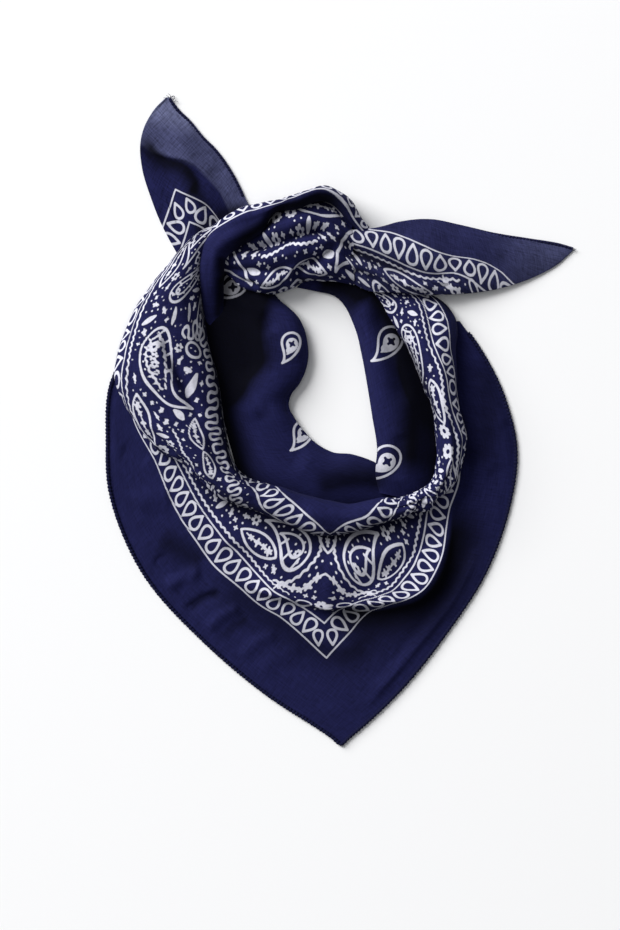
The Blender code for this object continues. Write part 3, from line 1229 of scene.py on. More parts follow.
    def sheet(self, row: Array) -> Sheet:
        """One stretch: an arch over each row, curled under at both feet, with fine pleats near its edges.

        Args:
            row: The rows of this stretch.

        Returns:
            The sheet.
        """
        points, turn, share = arch_grid(row, self.columns, self.roundness)
        flat = row[:, None, 6:8] + (row[:, None, 8:10] - row[:, None, 6:8]) * share[..., None]
        long = np.linspace(0, 1, len(row))[:, None] * 9
        count = 7 + 1.2 * np.sin(long)
        pleat = np.abs(np.cos(np.pi * (count * share + 0.35 * np.sin(1.7 * long) + 0.2 * long))) - PLEAT_MEAN
        edge = 0.35 + 0.65 * np.abs(np.cos(turn))[None, :] ** 1.5
        rough = 0.6 * rumple(points[..., 0], points[..., 1], 24, 5)
        rough = rough + 0.25 * rumple(points[..., 0], points[..., 1], 9, 6)
        for axis, seed in ((0, 7), (1, 8)):
            flat[..., axis] += 1.5 * rumple(points[..., 0], points[..., 1], 17, seed)
        points = displaced(points, self.creases, row[:, 10:11] * pleat * edge * PLEAT_GAIN + rough)
        # The last attribute is painted shade along the painted shade paths.
        return Sheet(points, flat, self.ink.at(flat[..., 0], flat[..., 1]), painted_shade=painted_hollow_shade(points, self.painted_shades))


def arch_grid(row: Array, columns: int, roundness: float, floor: int = 13) -> tuple[Array, Array, Array]:
    """A grid round a rolled stretch: plan share (1 - cos t) / 2, height sin t to a power above and nearly flat below.

    Args:
        row: Outer x, y, inner x, y, crest and base in each row.
        columns: Points across the arch.
        roundness: Power of the sine; below one is fuller.
        floor: Points across each half of the underside.

    Returns:
        The points, the angle of each column, and each point's share of the arch, which runs past 0 and 1 beneath.
    """
    tuck = 0.3
    turn = np.concatenate([
        np.linspace(-np.pi / 2, -tuck, floor, endpoint=False),
        np.linspace(-tuck, np.pi + tuck, columns),
        np.linspace(1.5 * np.pi, np.pi + tuck, floor, endpoint=False)[::-1],
    ])
    across = (0.5 * (1 - np.cos(turn)))[None, :, None]
    height = np.where(np.sin(turn) > 0, np.abs(np.sin(turn)) ** roundness, 0)
    under = -np.abs(np.minimum(np.sin(turn), 0)) ** 0.5 * 1.5
    plan = row[:, None, :2] + (row[:, None, 2:4] - row[:, None, :2]) * across
    z = row[:, 5:6] + (row[:, 4:5] - row[:, 5:6]) * height[None, :] + under[None, :]
    points = np.concatenate([plan, np.maximum(z, 0.3)[..., None]], axis=2)
    length = np.cumsum(np.linalg.norm(np.diff(points, axis=1, prepend=points[:, :1]), axis=2), axis=1)
    first, last = length[:, floor : floor + 1], length[:, floor + columns - 1 : floor + columns]
    return points, turn, (length - first) / (last - first)


@dataclass
class Flap:
    """The triangle that hangs in front: two layers from the hem in under the roll."""

    ink: SquarePrint
    rows: Table = (
        # hem x, y, inner x, y, lift, swell, hem p, q
        (-137, 86, -118, 87, 0, 0, 402, 0),
        (-152.6, 55, -126, 55, 0, 0, 366, 0),
        (-166, 26, -131, 26, 0, 0, 334, 0),
        (-168.5, -14, -126, -8, 0, 0, 294, 0),
        (-166, -53, -101, -33, 0, 0, 255, 0),
        (-143, -109, -76, -54, 0.5, 3, 192, 0),
        (-98, -160, -46, -62, 4.2, 7, 124, 0),
        (-53, -198, -28, -68, 4.2, 8, 65, 0),
        (-6, -229, -14, -71, 4.2, 8.2, 8, 0),
        (1.4, -234.5, -12, -71, 4.2, 8.2, 0, 0),
        (9, -228.5, -10, -71, 4.2, 8.2, 0, 9.7),
        (45, -195, 7, -70, 4.2, 8, 0, 59),
        (78, -154, 28, -66, 4.2, 7, 0, 112),
        (107, -109, 50, -58, 2, 3, 0, 166),
        (125, -57, 74, -43, 0, 1, 0, 221),
        (129, -21, 78, -14, 0, 0, 0, 257),
        (121, 15, 74, 15, 0, 0, 0, 295),
        (103, 52, 68, 50, 0, 0, 0, 338),
        (88, 73, 60, 69, 0, 0, 0, 364),
    )
    borders: Table = (
        # plan x, y, flat p, q: the outer and the inner line of the drop border, then the middle
        (-9, -171, 46, 46),
        (-43.5, -140.5, 93, 46),
        (-70.5, -121, 127, 46),
        (-90, -104.5, 153, 46),
        (-103, -86.5, 176, 46),
        (-121, -57, 212, 46),
        (-133.5, -27, 245, 46),
        (-150, 10, 284, 46),
        (9.5, -151, 46, 73),
        (23.5, -136.5, 46, 93),
        (37.5, -131.5, 46, 109),
        (50.5, -127.5, 46, 123),
        (61, -121, 46, 137),
        (68.5, -109.5, 46, 153),
        (74.5, -95.5, 46, 170),
        (77, -80, 46, 187),
        (80, -62, 46, 206),
        (86, -46, 46, 224),
        (-10.5, -146, 63, 63),
        (-27, -134, 84, 63),
        (-46, -123.5, 107, 63),
        (-60, -109.5, 128, 63),
        (-74.5, -93, 151, 63),
        (-90, -76, 174, 63),
        (-100, -62, 191, 63),
        (-114, -36, 222, 63),
        (0.5, -135.5, 63, 79),
        (12, -131, 63, 93),
        (25, -127.5, 63, 107),
        (37.5, -123, 63, 122),
        (46.5, -113.5, 63, 137),
        (55.5, -100.5, 63, 154),
        (58, -90, 63, 166),
        (62, -76, 63, 182),
        (-8.5, -98, 96, 96),
        (-9, -76, 112, 112),
    )
    # name, first row, last row, points along the hem, points inwards, CAD node
    pieces: tuple[tuple[str, float, float, int, int, str], ...] = (
        ("flap_left_face", 0, 5, 240, 84, "flap_left"),
        ("flap_front_face", 5, 13, 424, 212, "flap_front"),
        ("flap_right_face", 13, 18, 220, 76, "flap_right"),
    )
    creases: tuple[Crease, ...] = (
        # the soft ledge across the front, steep towards the hem
        Crease(
            ((-76, -112), (-52, -124), (-34, -128), (-9, -133), (14, -132),
             (36, -130), (54, -126), (66, -116), (74, -98), (78, -72)),
            8.0, 26, 3.2,
        ),
        Crease(((14, -136), (36, -134), (56, -129), (70, -116), (78, -94), (82, -70)), 2.6, 9, 2.6),
        Crease(((64, -136), (80, -124), (92, -104), (98, -80)), -1.2, 8, 8),
        Crease(((74, -142), (92, -124), (106, -96)), 1.6, 9, 9),
        Crease(((-134, -98), (-120, -108), (-104, -112)), -2.2, 7, 5),
        Crease(((-126, -122), (-112, -112), (-98, -108)), 2.4, 5, 5),
        Crease(((-112, -138), (-98, -128), (-84, -124)), -1.6, 3, 5),
        Crease(((-96, -152), (-84, -140), (-70, -134)), 2.0, 4, 5),
        Crease(((-72, -172), (-60, -160), (-44, -152)), 1.6, 4, 6),
        Crease(((-60, -184), (-44, -170), (-24, -164)), 1.2, 8, 8),
        Crease(((14, -212), (50, -170), (84, -126), (104, -86)), 1.5, 5, 3),
        Crease(((20, -196), (52, -158), (82, -116)), -0.9, 6, 6),
        Crease(((-150, -60), (-136, -56), (-120, -54)), 1.8, 9, 9),
        Crease(((-158, -20), (-148, -24), (-138, -30)), -1.0, 6, 6),
        Crease(((112, -40), (104, -20), (102, 4)), 2.0, 9, 9),
        Crease(((122, -6), (110, 14), (100, 34)), 1.5, 7, 7),
        Crease(((-96, -92), (-74, -86), (-50, -92), (-30, -104)), 1.8, 8, 5),
        Crease(((-86, -70), (-64, -84), (-40, -92), (-14, -94), (14, -92), (40, -86), (58, -76)), -2.4, 7, 5),
    )
    # Painted shade: the ledge's shadow on the margin below it, the roll's shadow along the inner edge, and darker
    # hollows in the margin folds.
    painted_shades: tuple[Crease, ...] = (
        Crease(
            ((-20, -138), (4, -136), (24, -138), (42, -135), (58, -130),
             (70, -118), (79, -98), (83, -72), (88, -50)),
            1.0, 2, 24,
        ),
        Crease(((-96, -108), (-72, -124), (-46, -142), (-20, -160), (6, -168), (30, -150)), 0.55, 6, 15),
        Crease(
            ((-112, -24), (-96, -44), (-74, -62), (-48, -74), (-20, -84),
             (6, -84), (30, -80), (58, -70), (78, -54)),
            0.75, 8, 7,
        ),
        Crease(((100, 50), (108, 20), (106, -10), (98, -40)), 0.5, 12, 12),
        Crease(((-132, -84), (-116, -92), (-96, -104)), 0.6, 9, 9),
        Crease(((-110, -136), (-96, -126), (-84, -122)), 0.5, 3, 4),
        Crease(((-86, -158), (-76, -148), (-64, -142)), 0.45, 3, 4),
    )
    inset: float = 1.1
    face_z: float = 1.5
    swell_at: float = 0.76
    swell_width: float = 0.19

    def make(self, cotton: bpy.types.Material) -> list[bpy.types.Object]:
        """Builds the face in three stretches, and the layer beneath it.

        Args:
            cotton: The printed finish.

        Returns:
            The new pieces, the lower layer last.
        """
        made = []
        for name, first, last, along, inwards, node in self.pieces:
            item = self.sheet(even_rows(self.rows, first, last, along), inwards, False).make(name, cotton, Held.LAID)
            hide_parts(node)
            made.append(item)
        lower = self.sheet(even_rows(self.rows, 0, 18, 280), 48, True)
        item = lower.make("flap_lower_layer", cotton, Held.LAID)
        made.append(item)
        return made

    def sheet(self, row: Array, inwards: int, lower: bool) -> Sheet:
        """One grid of the triangle: flat from the hem, a swell behind the ledge, then under the roll.

        Args:
            row: The rows of this stretch.
            inwards: Points from the hem inwards.
            lower: The layer beneath, which lies closer to the table.

        Returns:
            The sheet.
        """
        share = np.linspace(0, 1, inwards)[None, :]
        hem = moved_in(row[:, :2], row[:, 2:4], self.inset)
        plan = hem[:, None] + (row[:, None, 2:4] - hem[:, None]) * share[..., None]
        lift, swell = np.maximum(row[:, 4:5], 0), np.maximum(row[:, 5:6], 0)
        bump = np.cos(0.5 * np.pi * np.clip((share - self.swell_at) / self.swell_width, -1, 1)) ** 2
        z = self.face_z + lift * smoothstep(0.6, 0.9, share) + swell * bump
        points = np.concatenate([plan, z[..., None]], axis=2)
        away = smoothstep(0, 0.16, share)
        rough = 0.55 * rumple(plan[..., 0], plan[..., 1], 34, 11) + 0.2 * rumple(plan[..., 0], plan[..., 1], 12, 3)
        points = displaced(points, self.creases, (rough + 0.3) * away)
        points[..., 2] -= (0.9 if lower else 0) + 0.45 * (1 - away)
        if lower:
            points[..., 2] = np.maximum(0.2, points[..., 2])
        edge = tuple((r[0], r[1], r[6], r[7]) for r in self.rows)
        flat = FlatMap(edge + self.borders).at(plan)
        # The last attribute is painted shade along the painted shade paths.
        return Sheet(points, flat, self.ink.at(flat[..., 0], flat[..., 1]), painted_shade=painted_hollow_shade(points, self.painted_shades))


def moved_in(path: Array, other: Array, distance: float) -> Array:
    """A path in plan moved sideways towards the other path.

    Args:
        path: The path to move.
        other: The path on the side to move to.
        distance: How far.

    Returns:
        The moved path.
    """
    along = np.gradient(path, axis=0)
    side = np.stack([-along[:, 1], along[:, 0]], axis=1)
    side /= np.linalg.norm(side, axis=1)[:, None]
    side *= np.sign(((other - path) * side).sum(axis=1))[:, None]
    return path + side * distance


@dataclass
class Neck:
    """The band round the neck opening, seen from its plain side with a few sprigs."""

    left_ink: NeckPrint
    right_ink: NeckPrint
    left_rows: Table = (
        # opening x, y, valley x, y, opening z, rise, valley z
        (-50, 100, -88, 120, 5, 5, 2.0),
        (-47, 92, -93, 108, 6, 6, 1.6),
        (-38, 81, -96, 96, 8, 7, 1.4),
        (-29, 72, -95, 83, 9, 8, 1.2),
        (-23, 52, -91, 58, 9, 9, 1.2),
        (-24.5, 37, -85, 35, 9, 9, 1.2),
        (-36, 12, -80, 6.5, 8, 9, 1.2),
        (-32, 1, -73, -21, 7, 8, 1.2),
        (-21, -13, -64, -45, 5, 7, 1.2),
        (-5, -23, -32, -60, 4, 6, 1.2),
        (9.6, -24.7, -2, -66, 4, 6, 1.2),
        (25, -30, 24, -64, 3.4, 4, 1.2),
        (40, -40, 55, -58, 2.4, 1.5, 1.2),
    )
    right_rows: Table = (
        (-30, 97, -10, 116, 3, 3, 1.2),
        (-16, 94, 8, 110, 4, 4, 1.2),
        (-4, 91, 28, 100, 5, 5, 1.2),
        (4, 84, 40, 82, 7, 6, 1.2),
        (13.5, 65, 52, 62, 8, 7, 1.2),
        (17.3, 48.6, 59, 46, 8, 8, 1.2),
        (21.6, 24.5, 68, 20, 8, 8, 1.2),
        (25, 2, 74, -3, 9, 8, 1.2),
        (28, -19.7, 73, -26, 11, 7, 1.2),
        (27, -40, 66, -48, 11, 5, 2),
        (30, -52, 58, -58, 8, 2, 3),
    )
    left_creases: tuple[Crease, ...] = (
        Crease(((-92, 100), (-76, 78), (-66, 50), (-62, 24)), -3.4, 9, 9),
        Crease(((-70, 96), (-56, 78), (-46, 62)), -2.6, 7, 7),
        Crease(((-82, 92), (-64, 84), (-50, 76)), 2.0, 6, 6),
        Crease(((-34, 92), (-34, 74), (-32, 60), (-30, 40)), 1.6, 6, 8),
        Crease(((-62, 10), (-52, -6), (-40, -20), (-22, -32)), -3.0, 6, 8),
        Crease(((-26, 20), (-40, 16), (-56, 8)), -1.6, 7, 7),
        Crease(((-30, -20), (-12, -32), (8, -38), (30, -42)), 1.6, 6, 6),
    )
    right_creases: tuple[Crease, ...] = (
        Crease(((24, 84), (34, 60), (42, 36), (50, 10)), -3.0, 5, 8),
        Crease(((8, 86), (18, 66), (24, 44), (30, 14), (36, -14)), 1.4, 8, 6),
        Crease(((44, -8), (44, -24), (40, -44)), -2.0, 6, 6),
    )
    # Painted shade: darker patches under the knot and the roll, beside the right roll and along the front.
    painted_shades: tuple[Crease, ...] = (
        Crease(((-94, 118), (-76, 104), (-58, 94), (-40, 88)), 1.0, 30, 22),
        Crease(((-84, 92), (-70, 66), (-60, 42), (-56, 30)), 0.55, 18, 20),
        Crease(((64, 50), (54, 30), (54, 6), (52, -20), (50, -44)), 1.0, 16, 12),
        Crease(((-96, 86), (-88, 62), (-84, 38), (-80, 8)), 1.0, 14, 22),
        Crease(((-18, 102), (2, 96), (20, 84)), 1.0, 20, 12),
        Crease(((36, -50), (20, -42), (4, -44), (-20, -50)), 0.8, 6, 12),
    )
    turn_under: float = 2.6

    def make(self, cotton: bpy.types.Material) -> list[bpy.types.Object]:
        """Builds both bands.

        Args:
            cotton: The printed finish.

        Returns:
            The left and the right band.
        """
        row = even_rows(self.left_rows, 0, 12, 360)
        left = self.sheet(row, 110, self.left_creases, self.left_ink).make("neck_band_left", cotton, Held.FOLDED)
        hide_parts("neck_left", "neck_front")
        row = even_rows(self.right_rows, 0, 10, 250)
        right = self.sheet(row, 84, self.right_creases, self.right_ink).make("neck_band_right", cotton, Held.FOLDED)
        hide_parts("neck_right")
        return [left, right]

    def sheet(self, row: Array, across: int, creases: tuple[Crease, ...], ink: NeckPrint) -> Sheet:
        """One band: a round fold at the opening that returns beneath, a crown, and a valley beside the roll.

        The share across runs from -0.2, under the fold, through 0 at the opening to 1.1 under the roll.

        Args:
            row: The rows of the band.
            across: Points across.
            creases: Its creases.
            ink: Its sprigs.

        Returns:
            The sheet.
        """
        share = np.linspace(-0.2, 1.1, across)[None, :]
        fold = np.clip(-share / 0.2, 0, 1)
        out = np.clip(share, 0, None)
        dip = np.clip(share, 0, 1)
        unit = row[:, 2:4] - row[:, :2]
        unit = unit / np.linalg.norm(unit, axis=1)[:, None]
        curl = self.turn_under * (np.sin(np.pi * fold * 0.75) - 3.2 * np.clip(fold - 0.5, 0, 1))
        plan = row[:, None, :2] + (row[:, None, 2:4] - row[:, None, :2]) * out[..., None]
        plan = plan - unit[:, None] * (curl - self.turn_under * 0.6)[..., None] * np.exp(-dip * 9)[..., None]
        rise = np.maximum(row[:, 5:6], 0)
        crown = rise * np.sin(np.pi * np.clip(dip, 0, 1) ** 0.72) ** 1.2
        z = row[:, 4:5] + (row[:, 6:7] - row[:, 4:5]) * dip + crown - np.minimum(row[:, 4:5] - 0.6, 6) * fold**1.3
        points = np.concatenate([plan, z[..., None]], axis=2)
        rough = 0.7 * rumple(plan[..., 0], plan[..., 1], 30, 21)
        points = displaced(points, creases, rough * smoothstep(-0.05, 0.25, share))
        flat = unrolled(points)
        # Painted shadow: the colour darkens from this share of the band towards the roll, where the roll's shadow
        # falls, and along the painted shade paths.
        dark = 0.62 - 0.36 * smoothstep(0, 45, points[..., 1])  # where the shade of the roll begins
        painted_shade = np.clip(smoothstep(0, 0.45, share - dark) + painted_hollow_shade(points, self.painted_shades), 0, 1)
        print_ = ink.drawing.at(points[..., 0], points[..., 1]) + 4 * (fold > 0.45)
        return Sheet(points, flat, print_, painted_shade=painted_shade)


@dataclass
class Knot:
    """The knot: a strand that crosses over the top and the pleated end wrapped beneath it."""

    ink: SquarePrint
    strand_rows: Table = (
        # outer x, y, inner x, y, crest z, base z, flat outer p, q, flat inner p, q, pleat depth
        (-94, 66, -84, 67, 0.8, 0.4, 386, 164, 386, 200, 0.0),
        (-97, 75, -83, 76, 3.4, 0.6, 380, 164, 380, 202, 0.0),
        (-99.5, 86, -83, 87, 9, 1.2, 372, 164, 372, 204, 0.0),
        (-101, 98, -83, 97, 17, 2.4, 362, 163, 362, 204, 0.1),
        (-101, 113, -82, 108, 24.5, 4, 350, 159, 350, 202, 0.1),
        (-98, 128, -80, 116, 29, 4, 336, 148, 338, 200, 0.2),
        (-88, 143, -74, 122, 31, 4, 320, 137, 324, 198, 0.3),
        (-72, 153, -63, 129, 32, 4, 302, 134, 308, 196, 0.4),
        (-55, 157.5, -54, 137, 33, 5, 284, 136, 292, 192, 0.4),
        (-40, 160, -45, 147, 34, 8, 268, 138, 278, 186, 0.5),
        (-28, 163, -32, 150, 35, 10, 254, 140, 264, 182, 0.5),
        (-8, 168.5, -11, 157, 34, 10, 234, 140, 244, 178, 0.4),
        (9, 158, 0, 150, 29, 8, 214, 140, 224, 176, 0.4),
        (17, 145, 7, 141, 22, 6, 198, 141, 208, 174, 0.3),
        (24, 137, 15, 133, 15, 5, 184, 142, 194, 172, 0.2),
    )
    wrap_rows: Table = (
        # upper x, y, lower x, y, crest z, base z, flat upper p, q, flat lower p, q, pleat depth
        (-88, 119, -88, 110, 12, 3, 330, 96, 330, 104, 0.4),
        (-76, 127, -78, 101, 18, 2.6, 318, 80, 322, 112, 0.8),
        (-65, 136, -68, 93.5, 22, 2.2, 306, 68, 312, 124, 1.2),
        (-54, 145, -52, 90.5, 26, 2.2, 292, 60, 298, 134, 1.4),
        (-43, 154, -38, 94, 29, 2.4, 276, 56, 284, 138, 1.5),
        (-30, 159, -25, 100, 31, 2.6, 260, 54, 270, 136, 1.5),
        (-15, 160, -12, 101, 30, 3, 244, 56, 256, 134, 1.5),
        (-2, 155, 0, 100, 26, 4, 230, 60, 244, 130, 1.3),
        (9, 144, 11, 98, 19, 5, 218, 68, 232, 124, 1.0),
    )
    # Painted shade: darker paths in the cavities between the strand and the wrapped end, and in the pleats.
    painted_shades: tuple[Crease, ...] = (
        Crease(
            ((-84, 116), (-72, 126), (-60, 135), (-50, 142), (-42, 150),
             (-28, 154), (-12, 159), (0, 154), (6, 144)),
            0.95, 5.5, 4,
        ),
        Crease(((-84, 119), (-84, 108), (-80, 100)), 0.8, 4, 4),
        Crease(((-88, 70), (-86, 90), (-84, 106)), 0.9, 4, 5),
        Crease(((-10, 132), (0, 129), (10, 124)), 0.7, 4, 4),
        Crease(((-46, 129), (-36, 132), (-24, 133), (-12, 136)), 0.5, 2, 2),
        Crease(((-32, 104), (-24, 100), (-10, 100)), 0.6, 3, 4),
    )
    strand_creases: tuple[Crease, ...] = (
        Crease(((-97, 84), (-95, 106), (-93, 124), (-82, 136), (-62, 142), (-44, 150), (-24, 158)), 1.6, 4, 4),
        Crease(((-88, 122), (-76, 130), (-60, 136), (-48, 142)), -1.6, 4, 4),
        Crease(((-34, 158), (-14, 163), (2, 158), (10, 148)), -1.6, 2.4, 2.4),
        Crease(((-66, 150), (-50, 154), (-36, 157)), 1.0, 3, 3),
    )
    wrap_creases: tuple[Crease, ...] = (
        Crease(((-72, 122), (-60, 125), (-46, 127), (-35, 130), (-23, 135), (-10, 136), (0, 131)), -8.5, 3.4, 4.4),
        Crease(((-60, 131), (-44, 136), (-28, 142), (-12, 144)), 2.2, 6, 4),
        Crease(((-34, 98), (-28, 106), (-18, 113), (-9, 119), (0, 126)), -7.5, 3.6, 3.4),
        Crease(((-86, 112), (-74, 108), (-58, 107), (-44, 106), (-32, 107)), -3.6, 3.6, 3.6),
        Crease(((-80, 115), (-64, 116), (-48, 117), (-32, 121), (-16, 127)), 2.6, 5, 4),
        Crease(((-84, 110), (-76, 103), (-66, 98), (-56, 96)), -2.6, 3, 3),
        Crease(((-62, 99), (-50, 98), (-40, 101)), 1.8, 4, 4),
        Crease(((-18, 104), (-8, 108), (4, 113)), 1.6, 4, 4),
    )

    def make(self, cotton: bpy.types.Material) -> list[bpy.types.Object]:
        """Builds both parts of the knot.

        Args:
            cotton: The printed finish.

        Returns:
            The strand and the wrapped end.
        """
        strand = self.sheet(even_rows(self.strand_rows, 0, 14, 250), 84, self.strand_creases, 0.75, 5)
        wrap = self.sheet(even_rows(self.wrap_rows, 0, 8, 180), 170, self.wrap_creases, 0.62, 8)
        made = [strand.make("knot_strand_face", cotton, Held.FOLDED)]
        made.append(wrap.make("knot_wrap_face", cotton, Held.GATHERED))
        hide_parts("knot_strand")
        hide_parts("knot_wrap")
        return made

    def sheet(
        self, row: Array, columns: int, creases: tuple[Crease, ...], roundness: float, pleats: float
    ) -> Sheet:
        """An arch over each row with pleats that run along it and gather at its ends.

        Args:
            row: The rows of the arch.
            columns: Points across.
            creases: Its creases.
            roundness: Power of the sine.
            pleats: Number of pleats.

        Returns:
            The sheet.
        """
        points, turn, share = arch_grid(row, columns, roundness)
        flat = row[:, None, 6:8] + (row[:, None, 8:10] - row[:, None, 6:8]) * share[..., None]
        long = np.linspace(0, 1, len(row))[:, None]
        pleat = np.abs(np.cos(np.pi * (pleats * share + 0.5 * np.sin(3.0 * long + 1)))) - PLEAT_MEAN
        ends = 0.35 + 0.65 * np.abs(2 * long - 1) ** 1.5
        rough = 0.35 * rumple(points[..., 0], points[..., 1], 15, 31)
        points = displaced(points, creases, row[:, 10:11] * pleat * ends * PLEAT_GAIN + rough)
        # The last attribute is painted shade along the painted shade paths.
        return Sheet(points, flat, self.ink.at(flat[..., 0], flat[..., 1]), painted_shade=painted_hollow_shade(points, self.painted_shades))


@dataclass
class Tails:
    """The two ends of the knot, which lie flat on the table."""

    ink: SquarePrint
    right_rows: Table = (
        # upper x, y, lower x, y, upper z, lower z, rise
        (-2, 133, -4, 120, 19, 17, 5),
        (10, 137, 8, 101, 16, 12, 8),
        (24, 138, 19, 94, 14, 11, 8),
        (44, 143.5, 44, 92, 11, 13, 7),
        (63, 145.5, 66, 90.5, 8, 13, 6),
        (87, 141.5, 91, 91.5, 5, 8, 5),
        (112, 136, 116, 95.5, 3, 4.5, 4),
        (137.5, 132, 141, 104, 2.0, 2.2, 2.6),
        (159, 128.5, 159, 114, 1.4, 1.4, 0.8),
        (169.3, 125.5, 168.5, 122.5, 1.2, 1.2, 0.1),
    )
    right_borders: Table = (
        # plan x, y, flat p, q: the hem, the outer and the inner line of the drop border, then the ridge
        (169, 126, 0, 0),
        (137.5, 132, 0, 32),
        (112, 136, 0, 58),
        (24.5, 136.5, 46, 164),
        (37, 135, 46, 151),
        (50.5, 130, 46, 137),
        (62.5, 124.5, 46, 124),
        (72.5, 120.5, 46, 113),
        (84.5, 118, 46, 101),
        (96.5, 116.5, 46, 89),
        (106.5, 113.5, 46, 78),
        (117.5, 107, 46, 65),
        (125.5, 99, 46, 54),
        (1, 130, 63, 188),
        (17.5, 125, 63, 171),
        (34, 118, 63, 153),
        (48, 111, 63, 137),
        (62.5, 106, 63, 122),
        (71.5, 105.5, 63, 113),
        (82.5, 106.5, 63, 102),
        (92, 103, 63, 92),
        (103, 95, 63, 78),
        (8, 101, 100, 196),
        (44, 92, 88, 150),
        (66, 90.5, 80, 126),
    )
    left_rows: Table = (
        # left x, y, right x, y, left z, right z, rise, single layer, hem
        (-112, 113, -58, 144, 1.6, 1.6, 0, 0, 0, 0, 0, 1),
        (-119.5, 125, -66, 158, 1.6, 1.6, 0.6, 0, 0, 0, 0, 1),
        (-128, 141, -71, 169, 1.6, 1.4, 2.4, 0, 0, 0, 0, 1),
        (-136, 161, -78, 182, 1.5, 1.3, 3.2, 0, 0, 0, 0, 1),
        (-142.6, 184, -89, 197, 1.4, 1.3, 3.0, 0, 0, 0, 0, 1),
        (-143.6, 199, -98, 206, 1.3, 1.3, 2.2, 0, 0, 0, 0, 1),
        (-140, 214, -107, 217, 1.3, 1.2, 1.4, 0, 0, 0, 0, 1),
        (-133, 226, -116, 226, 1.2, 1.2, 0.5, 0, 0, 0, 0, 1),
        (-125, 234, -121.5, 234, 1.2, 1.2, 0.1, 0, 0, 0, 0, 1),
    )
    right_creases: tuple[Crease, ...] = (
        Crease(((-4, 127), (14, 121), (34, 114), (60, 104), (86, 98)), -4.6, 5, 4),
        Crease(((0, 119), (20, 110), (44, 100), (72, 95)), 2.6, 4, 5),
        Crease(((2, 108), (14, 106), (30, 98)), -2.4, 2.4, 2.4),
        Crease(((8, 131), (30, 130), (56, 122), (84, 112)), 1.6, 7, 7),
        Crease(((20, 112), (36, 107), (50, 99)), -1.6, 2.0, 2.0),
        Crease(((60, 140), (90, 130), (124, 120)), 1.4, 7, 7),
    )
    left_creases: tuple[Crease, ...] = (
        Crease(((-139, 196), (-126, 191), (-108, 187), (-90, 174)), 1.1, 2.4, 1.2),
        Crease(((-112, 218), (-112, 196), (-106, 172), (-92, 146)), 1.6, 8, 8),
        Crease(((-134, 210), (-128, 188), (-122, 160), (-112, 136)), -1.4, 7, 7),
        Crease(((-90, 186), (-84, 168), (-74, 154)), -1.2, 5, 5),
    )
    left_borders: Table = (
        # plan x, y, flat p, q: the two hems, the outer and the inner line of the drop border, then the fold
        (-123, 235, 550, 0),
        (-98, 206, 512, 0),
        (-78, 182, 481, 0),
        (-66, 158, 454, 0),
        (-137, 219, 550, 20),
        (-118, 167, 504, 46),
        (-106, 161.5, 491, 46),
        (-95, 155.5, 478, 46),
        (-122, 155, 504, 60),
        (-127, 141, 504, 74),
        (-108, 143.5, 487, 63),
        (-97, 138.5, 475, 63),
        (-114.5, 123, 487, 85),
        (-143.5, 199, 541, 40),
    )
    fold_share: float = 0.14  # how far a folded edge returns beneath, as a share of the width
    # Painted shade: darker paths below the single layer's folded edge and beside the knot.
    left_painted_shades: tuple[Crease, ...] = (
        Crease(((-141, 208), (-135, 196), (-124, 188), (-112, 184), (-104, 174), (-100, 160)), 0.95, 3, 9),
        Crease(((-110, 168), (-100, 160), (-94, 150)), 0.7, 5, 5),
        Crease(((-62, 150), (-74, 152), (-90, 146), (-108, 132)), 0.8, 6, 6),
    )
    # Painted shade: darker paths along the fold by the knot and beneath the tail's lower edge.
    right_painted_shades: tuple[Crease, ...] = (
        Crease(((-6, 128), (12, 121), (32, 113), (56, 106)), 0.85, 3, 4),
        Crease(((-4, 134), (6, 126), (10, 112)), 0.6, 4, 4),
        Crease(((20, 95), (44, 92), (70, 91), (100, 92), (130, 99)), 0.5, 5, 5),
    )

    def make(self, sheer: bpy.types.Material) -> list[bpy.types.Object]:
        """Builds both tails.

        Args:
            sheer: The printed finish, with painted light: paler where a single layer lets the table shine through.

        Returns:
            The left and the right tail.
        """
        left = self.left_sheet().make("tail_left_face", sheer, Held.LAID)
        right = self.right_sheet().make("tail_right_face", sheer, Held.LAID)
        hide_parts("tail_left")
        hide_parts("tail_right")
        return [left, right]

    def grid(self, row: Array, columns: int, folded: tuple[bool, bool]) -> tuple[Array, Array]:
        """Points between two edges: a low ridge, and a round return beneath each folded edge.

        Args:
            row: Edges, edge heights and rise of each row.
            columns: Points across.
            folded: Whether the first and the second edge are folds.

        Returns:
            The points, and each column's share across.
        """
        under = self.fold_share
        share = np.linspace(-under if folded[0] else 0, 1 + under if folded[1] else 1, columns)[None, :]
        inside = np.clip(share, 0, 1)
        past = np.abs(share - inside) / under
        mirrored = inside + np.where(share < 0, 1, -1) * past * 0.16
        plan = row[:, None, :2] + (row[:, None, 2:4] - row[:, None, :2]) * mirrored[..., None]
        z = row[:, 4:5] + (row[:, 5:6] - row[:, 4:5]) * inside + row[:, 6:7] * np.sin(np.pi * inside)
        z = z - np.sqrt(np.clip(past, 0, 1)) * 0.9
        return np.concatenate([plan, z[..., None]], axis=2), np.broadcast_to(share, z.shape)

    def right_sheet(self) -> Sheet:
        """The right tail, with the drop border along its length.

        Returns:
            The sheet.
        """
        row = even_rows(self.right_rows, 0, 9, 270)
        points, share = self.grid(row, 110, (True, True))
        inside = np.clip(share, 0, 1)
        flat = FlatMap(self.right_borders).at(points[..., :2])
        rough = 0.6 * rumple(points[..., 0], points[..., 1], 26, 41)
        keep = smoothstep(0, 0.1, inside) * smoothstep(0, 0.1, 1 - inside)
        points = displaced(points, self.right_creases, rough * keep)
        # Painted light: the right tail pales towards its tip, a painted sheen and light through a single layer.
        thin = 0.06 + 0.26 * smoothstep(96, 160, points[..., 0])
